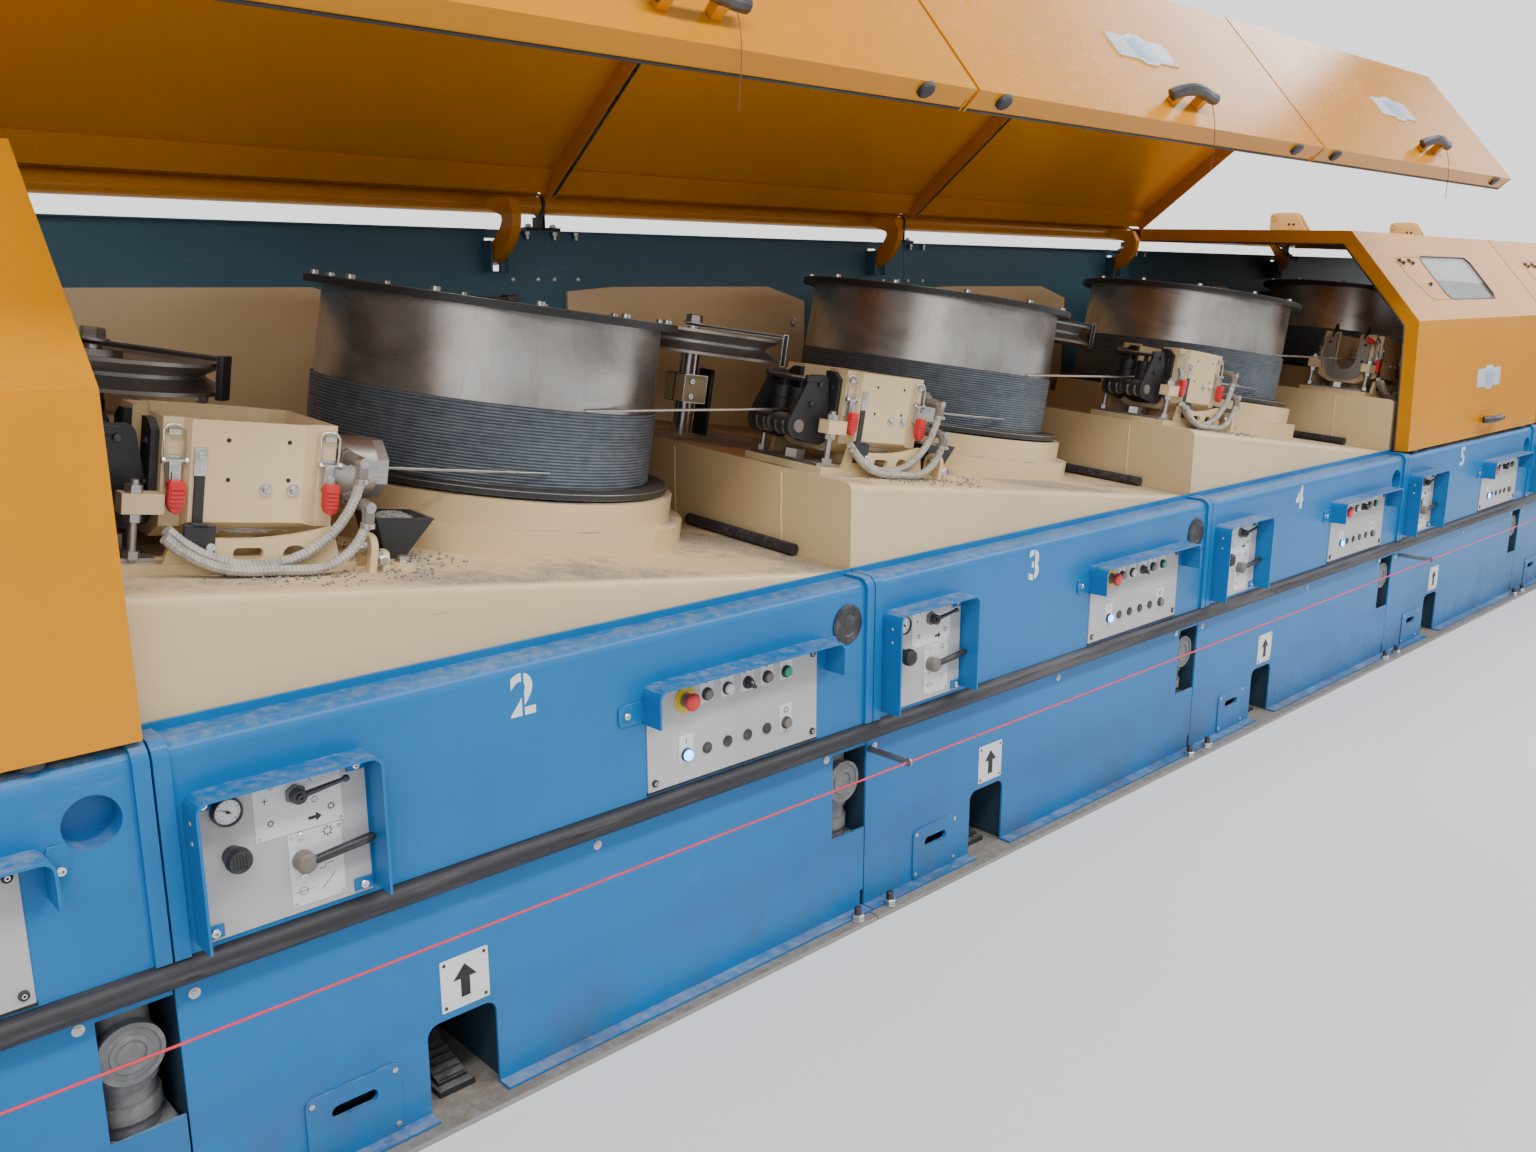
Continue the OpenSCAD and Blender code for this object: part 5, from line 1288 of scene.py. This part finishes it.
class WIRELINE_OT_capstans(bpy.types.Operator):
    """Cap the drums with their black flanges and rings, and fit the guide pulleys' clamps"""
    bl_idname = "wireline.capstans"
    bl_label = "Capstans and pulleys"

    def execute(self, context):
        def centre(k):
            return [on_bed(k, *CAP)]

        flange = ((0.3496, 0.5236), (0.4484, 0.5236), (0.4502, 0.5254), (0.4502, 0.5400), (0.4476, 0.5428),
                  (0.3520, 0.5428), (0.3496, 0.5410))
        carried("flange", spun("flange", "flange_black", flange, 120), centre, "capstan")
        ring = ((0.4143, 0.1254), (0.4690, 0.1254), (0.4706, 0.1270), (0.4706, 0.1380), (0.4680, 0.1406),
                (0.4143, 0.1406))
        carried("foot_ring", spun("foot_ring", "flange_black", ring, 120), centre, "capstan")
        bolt = turned("flange_bolt", "chrome", [(0.0110, 0), (0.0110, 0.0090), (0.0098, 0.0102),
                                                (0.0060, 0.0102), (0.0055, 0.0040)], 18)
        carried("flange_bolts", bolt, lambda k: [on_bed(k, *CAP) @ turn(30 * i + 11 * k, "Z") @
                                                 shift(0.428, 0, 0.5426) for i in range(12)], "capstan")
        cap = turned("hub_cap", "dark_steel", [(0.104, 0.524), (0.104, 0.536), (0.098, 0.541), (0.060, 0.541),
                                               (0.056, 0.546), (0.020, 0.547)], 48)
        carried("hub_cap", cap, centre, "capstan")
        bolt = hex_bolt("hub_bolt", "zinc", 0.012, 0.012, 0.017)
        carried("hub_bolts", bolt, lambda k: [on_bed(k, *CAP) @ turn(45 * i, "Z") @ shift(0.150, 0, 0.5238)
                                              for i in range(8)], "capstan")
        home = every(lambda k: on_bed(k, *POST))
        clamp = block("clamp", "cream_paint", (-0.0462, -0.0462, 0.0975), (0.0462, 0.0462, 0.1850), 0.006, 3)
        # Painted shade: a dark block fills the clamp's slit.
        slit = block("clamp_slit", "ink_and_painted_shade", (-0.0470, -0.0020, 0.0990), (-0.0300, 0.0020, 0.1835))
        fixed("post_clamps", clamp, home)
        fixed("clamp_slits", slit, home)
        spots = [on_bed(k, *POST) @ shift(x, -0.0462, w) @ turn(90, "X") for k in range(UNITS) for x, w in
                 ((-0.022, 0.118), (-0.022, 0.164))]
        fixed("clamp_bolts", socket_screw("clamp_bolt", "chrome", 0.0095, 0.009), spots)
        bar = [block("bar", "black_steel", (-0.0266, -0.0206, 0.3286), (0.2925, 0.0206, 0.3376), 0.0015, 1),
               block("keeper", "black_steel", (0.2774, -0.0226, 0.2446), (0.2926, 0.0226, 0.3416), 0.003)]
        fixed("keepers", joined("keeper", bar), [p @ turn(-43, "Z") for p in home])
        nut = joined("post_nut", [turned("washer", "zinc", [(0.034, 0), (0.034, 0.004), (0.033, 0.005)], 32),
                                  turned("nut", "zinc", [(0.026, 0.004), (0.026, 0.024), (0.023, 0.027)], 6)])
        fixed("post_nuts", nut, [p @ shift(0, 0, 0.3374) for p in home])
        side_bar = block("side_bar", "black_steel", (0.070, -0.030, 0.0), (0.086, 0.030, 0.205), 0.004)
        fixed("side_bars", side_bar, home)
        roll = []
        for k in range(UNITS):
            ends = [(1.684, 0.262), (1.680, 0.684)]
            roll.append(bent_rod("edge_roll", "black_rubber",
                                 [(seam(k) + x, FRONT + y, bed_height(x, y) + 0.017) for x, y in ends], 0.016,
                                 16))
        fixed("edge_rolls", joined("edge_rolls", roll), [Matrix.Identity(4)])
        bead = []
        for k in range(UNITS):
            for y in (0.330, 0.770, 1.210):
                low, high = bed_height(1.699, y) + 0.010 if k else 0.915, bed_height(0.0, y) - 0.012
                wobble = random.Random(k * 10 + int(y * 100))
                bead.append(bent_rod("weld", "cream_paint", [
                    (seam(k) + 0.0030, FRONT + y + wobble.uniform(-0.002, 0.002), low + (high - low) * i / 8)
                    for i in range(9)], 0.0028, 6))
        fixed("welds", joined("welds", bead), [Matrix.Identity(4)])
        return {"FINISHED"}


class WIRELINE_OT_back_wall(bpy.types.Operator):
    """Add the back wall's bolts, the back plates' bolts and the hinges' blocks"""
    bl_idname = "wireline.back_wall"
    bl_label = "Back wall fittings"

    def execute(self, context):
        under = [on_floor(k, x, 1.376, 1.7678) @ turn(180, "X") for k in range(UNITS) for x in
                 (0.030, 0.110, 1.630)]
        stud = joined("stud", [turned("nut", "zinc", [(0.0095, 0), (0.0095, 0.010), (0.008, 0.011)], 6),
                               turned("stud", "zinc", [(0.0052, 0.009), (0.0052, 0.022), (0.004, 0.023)],
                                      10)])
        fixed("wall_studs", stud, under)
        dot = turned("wall_screw", "zinc", [(0.0065, 0), (0.0063, 0.0020), (0.0035, 0.0032)], 14)
        fixed("wall_screws", dot, [on_wall(k, x, z) for k in range(UNITS) for x,
                                   z in ((0.030, 1.625), (0.120, 1.625), (1.580, 1.625), (1.670, 1.625),
                                         (0.030, 1.200), (1.670, 1.000))])
        fixed("plate_bolts", hex_bolt("plate_bolt", "zinc", 0.010, 0.010, 0.016), [
            on_wall(k, x, z, 0.012) for k in range(UNITS) for x, z in
            ((0.619, 1.323), (0.593, 1.153), (0.125, 1.500), (1.070, 1.475), (0.125, 1.250), (1.070, 1.180))])
        bent = [block("lip", "dark_steel", (-0.028, -0.080, 0.004), (0.028, -0.066, 0.040), 0.002),
                block("rest", "dark_steel", (0.018, -0.100, 0.006), (0.060, -0.060, 0.046), 0.006)]
        fixed("slot_rests", joined("slot_rest", bent), every(lambda k: on_wall(k, 1.511, 1.640)))
        yoke = block("yoke", "black_steel", (-0.004, -0.030, -0.084), (0.004, 0.030, -0.036), 0.001, 1)
        fixed("hinge_yokes", yoke, [on_floor(k, 0.0, *HINGE) for k in range(UNITS + 1)])
        bolts = [on_floor(k, x, 1.414, 1.778) for k in range(1, UNITS) for x in (-0.045, 0.045)]
        foot = block("foot", "black_steel", (-0.062, -0.020, -0.006), (0.062, 0.018, 0.004), 0.002)
        fixed("hinge_feet", foot, [on_floor(k, 0.0, 1.406, 1.778) for k in range(1, UNITS)])
        fixed("foot_bolts", hex_bolt("foot_bolt", "zinc", 0.009, 0.009, 0.013), [p @ shift(0, -0.008, 0.004)
                                                                                for p in bolts])
        return {"FINISHED"}


class HoodSettings(bpy.types.PropertyGroup):
    badge: bpy.props.FloatProperty(name="Badge length", description="Length of the blank badge plate",
                                   default=0.30, min=0.1, max=0.4, unit="LENGTH")
    handle: bpy.props.FloatProperty(name="Handle reach",
                                    description="How far a bow handle stands off its hood", default=0.052,
                                    min=0.03, max=0.07, unit="LENGTH")


class WIRELINE_OT_hood_fittings(bpy.types.Operator):
    """Fit the hoods' handles, badges, bumpers, window frames, brackets, seals and rivets"""
    bl_idname = "wireline.hood_fittings"
    bl_label = "Hood fittings"

    def execute(self, context):
        settings = context.scene.wire_hood
        reach = settings.handle

        def shut(k):
            return [on_closed(k, 0, 0, 0)]

        def slanted(k):
            return [on_slant(k, 0, 0)]

        bow = [(-0.104, 0, reach * 0.42), (-0.092, 0, reach * 0.66), (-0.060, 0, reach * 0.92),
               (-0.010, 0, reach), (0.040, 0, reach * 0.88), (0.066, 0, reach * 0.70),
               (0.104, 0, reach * 0.66)]
        handle = [bent_rod("bow", "black_plastic", bow, 0.0165, 16, smooth=True)]
        handle += [block("handle_foot", "amber_paint", (x - 0.014, -0.013, 0),
                         (x + 0.014, 0.013, reach * 0.62), 0.003, 2) for x in (-0.076, 0.046)]
        carried("handle", joined("handle", handle), lambda k: [on_lean(k, *HANDLE)], "hood")
        half = settings.badge / 2
        outline = [(-half, -0.042), (-0.050, -0.042), (-0.030, -0.056), (0.030, -0.056), (0.050, -0.042),
                   (half, -0.042), (half, 0.042), (0.050, 0.042), (0.030, 0.056), (-0.030, 0.056),
                   (-0.050, 0.042), (-half, 0.042)]
        badge = [cut_plate("badge", "badge", outline, 0, 0.0035, 0.0012)]
        badge.append(cut_plate("badge_field", "badge_field", [(x * 0.40, y * 0.80) for x, y in outline],
                               0.0030, 0.0044, 0.0006))
        badge += [moved(turned("rivet", "zinc", [(0.004, 0), (0.0036, 0.0014), (0.002, 0.002)], 12),
                        shift(sx * (half - 0.012), sy * 0.030, 0.0034)) for sx in (-1, 1) for sy in (-1, 1)]
        carried("badge", joined("badge", badge), lambda k: [on_lean(k, *BADGE)], "hood")
        bumper = turned("bumper", "black_rubber", [(0.0205, 0.0), (0.0205, 0.006), (0.0175, 0.0105),
                                                  (0.010, 0.0125)], 24)
        carried("bumpers", bumper, lambda k: [on_closed(k, x, 0.018, HOOD_LOW) @ turn(180, "X")
                                              for x in (0.105, 1.540)], "hood")
        seal = block("lip_seal", "black_rubber", (0.012, 0.0530, 0.9115), (1.688, 0.0590, 0.9215), 0.001, 1)
        carried("lip_seal", seal, shut, "hood")
        lip = block("lip", "amber_paint", (0.010, 0.0060, 0.9150), (1.690, 0.0590, 0.9205), 0.001, 1)
        carried("lip", lip, shut, "hood")
        corners = [(0.57, 0.110), (1.13, 0.110), (1.16, 0.140), (1.16, 0.330), (1.13, 0.360), (0.57, 0.360),
                   (0.54, 0.330), (0.54, 0.140)]
        gasket = bent_rod("gasket", "black_rubber", [(x, y, -0.0005) for x, y in corners], 0.0032, 8,
                          closed=True)
        carried("gasket", gasket, slanted, "hood")
        groove = [(0.545, 0.352, 0), (0.285, 0.352, 0), (0.262, 0.345, 0), (0.256, 0.325, 0),
                  (0.256, 0.245, 0), (0.330, 0.128, 0), (0.352, 0.113, 0), (0.545, 0.110, 0)]
        groove = bent_rod("panel_line", "panel_line", groove, 0.0016, 4)
        carried("panel_line", groove, slanted, "hood")
        bolt = joined("window_bolt", [
            turned("washer", "dark_steel", [(0.0115, 0), (0.0115, 0.002), (0.0105, 0.003)], 20),
            turned("head", "dark_steel", [(0.0072, 0.002), (0.0072, 0.009), (0.0055, 0.0105)], 6)])
        spots = ((0.284, 0.330), (0.307, 0.316), (0.392, 0.330), (0.415, 0.316), (0.440, 0.196))
        carried("window_bolts", bolt, lambda k: [on_slant(k, x, y) for x, y in spots], "hood")
        shape = ((0, -0.004), (0.225, -0.004), (0.150, 0.112), (0.132, 0.124), (0.036, 0.128), (0.010, 0.122),
                 (-0.004, 0.104), (-0.002, 0.060))
        cheeks = [moved(cut_plate("cheek", "bracket", shape, -0.005, 0.005, 0.0015), shift(x, 0, 0) @
                        turn(90, "Z") @ turn(90, "X")) for x in (-0.028, 0.028)]
        boss = moved(turned("boss", "bracket", [(0.020, -0.038), (0.020, 0.038), (0.016, 0.040),
                                                (0.009, 0.040), (0.009, 0.036)], 24), shift(0, 0.018, 0.103) @
                     turn(90, "Y"))
        web = block("web", "bracket", (-0.026, 0.060, -0.004), (0.026, 0.125, 0.080), 0.004)
        # Painted shade: dark discs stand for the shaded insides of the bracket's holes.
        slots = [moved(turned("bracket_hole", "ink_and_painted_shade", [(0.0075, 0), (0.0075, 0.0006)], 12),
                       shift(s * 0.0332, y, z) @ turn(90 * s, "Y")) for s in (-1, 1) for y,
                 z in ((0.108, 0.062), (0.135, 0.060))]
        bracket = joined("bracket", cheeks + [boss, web] + slots)
        carried("bracket", bracket, lambda k: [on_closed(k, 1.511, 1.402, 1.877) @ turn(180, "Z")], "hood")
        rim = beside(HOOD_LINE, 0.031)
        rivets = []
        for x, side in ((0.0100, 1), (1.6900, -1)):
            for place in along([(x, y, z) for y, z in rim], 0.175):
                rivets.append(Matrix.Translation(place.translation) @ turn(90 * side, "Y"))
        rivet = ball("rivet", "amber_paint", 0.0062, 0.55, 4, 10)
        carried("rim_rivets", rivet, lambda k: [on_closed(k, 0, 0, 0) @ r for r in rivets], "hood")
        for name, x in (("left_seal", 0.0048), ("right_seal", 1.6952)):
            line = bent_rod(name, "black_rubber", [(x, y, z) for y, z in beside(HOOD_LINE, 0.058)], 0.0042, 8)
            carried(name, line, shut, "hood")
        flange = cut_plate("inner_flange", "amber_paint", ((1.270, 1.8638), (1.345, 1.8395), (1.345, 1.8355),
                                                           (1.2695, 1.8598)), 0.012, 1.688, 0)
        moved(flange, Matrix(((0, 0, 1, 0), (1, 0, 0, 0), (0, 1, 0, 0), (0, 0, 0, 1))))
        carried("inner_flange", flange, shut, "hood")
        carried("flange_rivets", ball("rivet", "amber_paint", 0.0058, 0.55, 4, 10),
                lambda k: [on_closed(k, 0.09 + 0.19 * i, 1.308, 1.8476) @ turn(198, "X") for i in range(9)],
                "hood")
        hanging = [(0.074, 0.0, reach * 0.70), (0.073, -0.030, 0.028), (0.070, -0.072, 0.005),
                   (0.067, -0.084, -0.001), (0.062, -0.120, -0.030), (0.058, -0.160, -0.064)]
        string = bent_rod("string", "string", hanging, 0.0012, 4, smooth=True)
        carried("string", string, lambda k: [on_lean(k, *HANDLE)], "hood", (1, 2, 3))
        return {"FINISHED"}


def on_lean(k, x, up):
    """A frame on a hood's leaning front: x along the line, y up the sheet, z towards the operator."""
    lean = math.degrees(math.atan2(FOLD[0], FOLD[1] - HOOD_LOW))
    return on_hood(k) @ shift(seam(k) + x, FRONT, HOOD_LOW) @ turn(90 - lean, "X") @ shift(0, up)


class WIRELINE_OT_stage(bpy.types.Operator):
    """Set the floor, the lamps and the view"""
    bl_idname = "wireline.stage"
    bl_label = "Stage and view"

    def execute(self, context):
        settings = context.scene.wire_line
        deselect()
        bpy.ops.mesh.primitive_plane_add(size=90, location=(0, 0, -0.001))
        floor = applied(bpy.context.object)
        floor.name = "floor"
        f = Finish("pale_floor", (0.86, 0.86, 0.86), 0.75)
        f.set("Base Color", f.mix(f.noise(0.6), (0.84, 0.84, 0.84), (0.88, 0.88, 0.88)))
        floor.data.materials.append(f.material)
        world = bpy.data.worlds.new("studio") if not context.scene.world else context.scene.world
        context.scene.world = world
        world.use_nodes = True
        nodes, links = world.node_tree.nodes, world.node_tree.links
        sky = nodes["Background"]
        sky.inputs["Color"].default_value = (0.93, 0.96, 1.0, 1.0)
        sky.inputs["Strength"].default_value = SKY_LIGHT
        backdrop = nodes.new("ShaderNodeBackground")
        backdrop.inputs["Color"].default_value = (1.0, 1.0, 1.0, 1.0)
        backdrop.inputs["Strength"].default_value = BACKDROP_LIGHT
        seen = nodes.new("ShaderNodeLightPath")
        choice = nodes.new("ShaderNodeMixShader")
        links.new(seen.outputs["Is Camera Ray"], choice.inputs[0])
        links.new(sky.outputs[0], choice.inputs[1])
        links.new(backdrop.outputs[0], choice.inputs[2])
        links.new(choice.outputs[0], nodes["World Output"].inputs["Surface"])
        power = settings.lamp
        for name, place, aim, size, watts in (
            ("roof_lamp_front", (0.0, -3.4, 5.2), (0.0, 0.0, 0.8), (14.0, 0.7), 540),
            ("roof_lamp_back", (1.0, 2.6, 5.6), (0.0, 0.2, 1.0), (14.0, 0.9), 470),
            ("far_window", (9.5, -2.0, 3.6), (2.0, 0.0, 1.0), (5.0, 4.0), 120),
            ("near_fill", (-6.5, -4.2, 3.2), (-1.5, 0.0, 0.9), (3.5, 3.0), 60),
            ("front_strip", (0.0, -6.5, 3.0), (0.0, -0.5, 0.9), (15.0, 1.2), 100),
        ):
            lamp = bpy.data.lights.new(name, "AREA")
            lamp.shape = "RECTANGLE"
            lamp.size, lamp.size_y = size
            lamp.energy = watts * power
            holder = bpy.data.objects.new(name, lamp)
            context.scene.collection.objects.link(holder)
            holder.location = place
            way = Vector(aim) - Vector(place)
            holder.rotation_euler = way.to_track_quat("-Z", "Y").to_euler()
        camera = bpy.data.objects.new("view", bpy.data.cameras.new("view"))
        context.scene.collection.objects.link(camera)
        camera.data.lens = settings.lens
        camera.data.sensor_width = 36.0
        camera.location = VIEW_FROM
        camera.rotation_euler = (math.radians(90 - VIEW_DOWN), 0.0, math.radians(VIEW_TURN))
        context.scene.camera = camera
        return {"FINISHED"}


class WIRELINE_PT_panel(bpy.types.Panel):
    """The steps of the dressing, in order"""
    bl_label = "Wire Line"
    bl_idname = "WIRELINE_PT_panel"
    bl_space_type = "VIEW_3D"
    bl_region_type = "UI"
    bl_category = "Wire Line"

    def draw(self, context):
        for name, group in GROUPS:
            settings = getattr(context.scene, name)
            for field in group.__annotations__:
                self.layout.prop(settings, field)
        for step in STEPS:
            self.layout.operator(step.bl_idname)


STEPS = (WIRELINE_OT_paint_frame, WIRELINE_OT_push_buttons, WIRELINE_OT_lever_sets, WIRELINE_OT_panel_fixings,
         WIRELINE_OT_base_fixings, WIRELINE_OT_latches, WIRELINE_OT_hoses, WIRELINE_OT_die_fittings,
         WIRELINE_OT_granules, WIRELINE_OT_capstans, WIRELINE_OT_back_wall, WIRELINE_OT_hood_fittings,
         WIRELINE_OT_stage)
GROUPS = (("wire_line", LineSettings), ("wire_buttons", ButtonSettings), ("wire_die", DieSettings),
          ("wire_hood", HoodSettings))


def register():
    for kind in (*(group for _, group in GROUPS), *STEPS, WIRELINE_PT_panel):
        bpy.utils.register_class(kind)
    for name, group in GROUPS:
        setattr(bpy.types.Scene, name, bpy.props.PointerProperty(type=group))


def unregister():
    for name, _ in GROUPS:
        delattr(bpy.types.Scene, name)
    for kind in reversed((*(group for _, group in GROUPS), *STEPS, WIRELINE_PT_panel)):
        bpy.utils.unregister_class(kind)


def main():
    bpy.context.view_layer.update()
    register()
    for step in STEPS:
        group, _, name = step.bl_idname.partition(".")
        getattr(getattr(bpy.ops, group), name)()


if __name__ == "__main__":
    main()
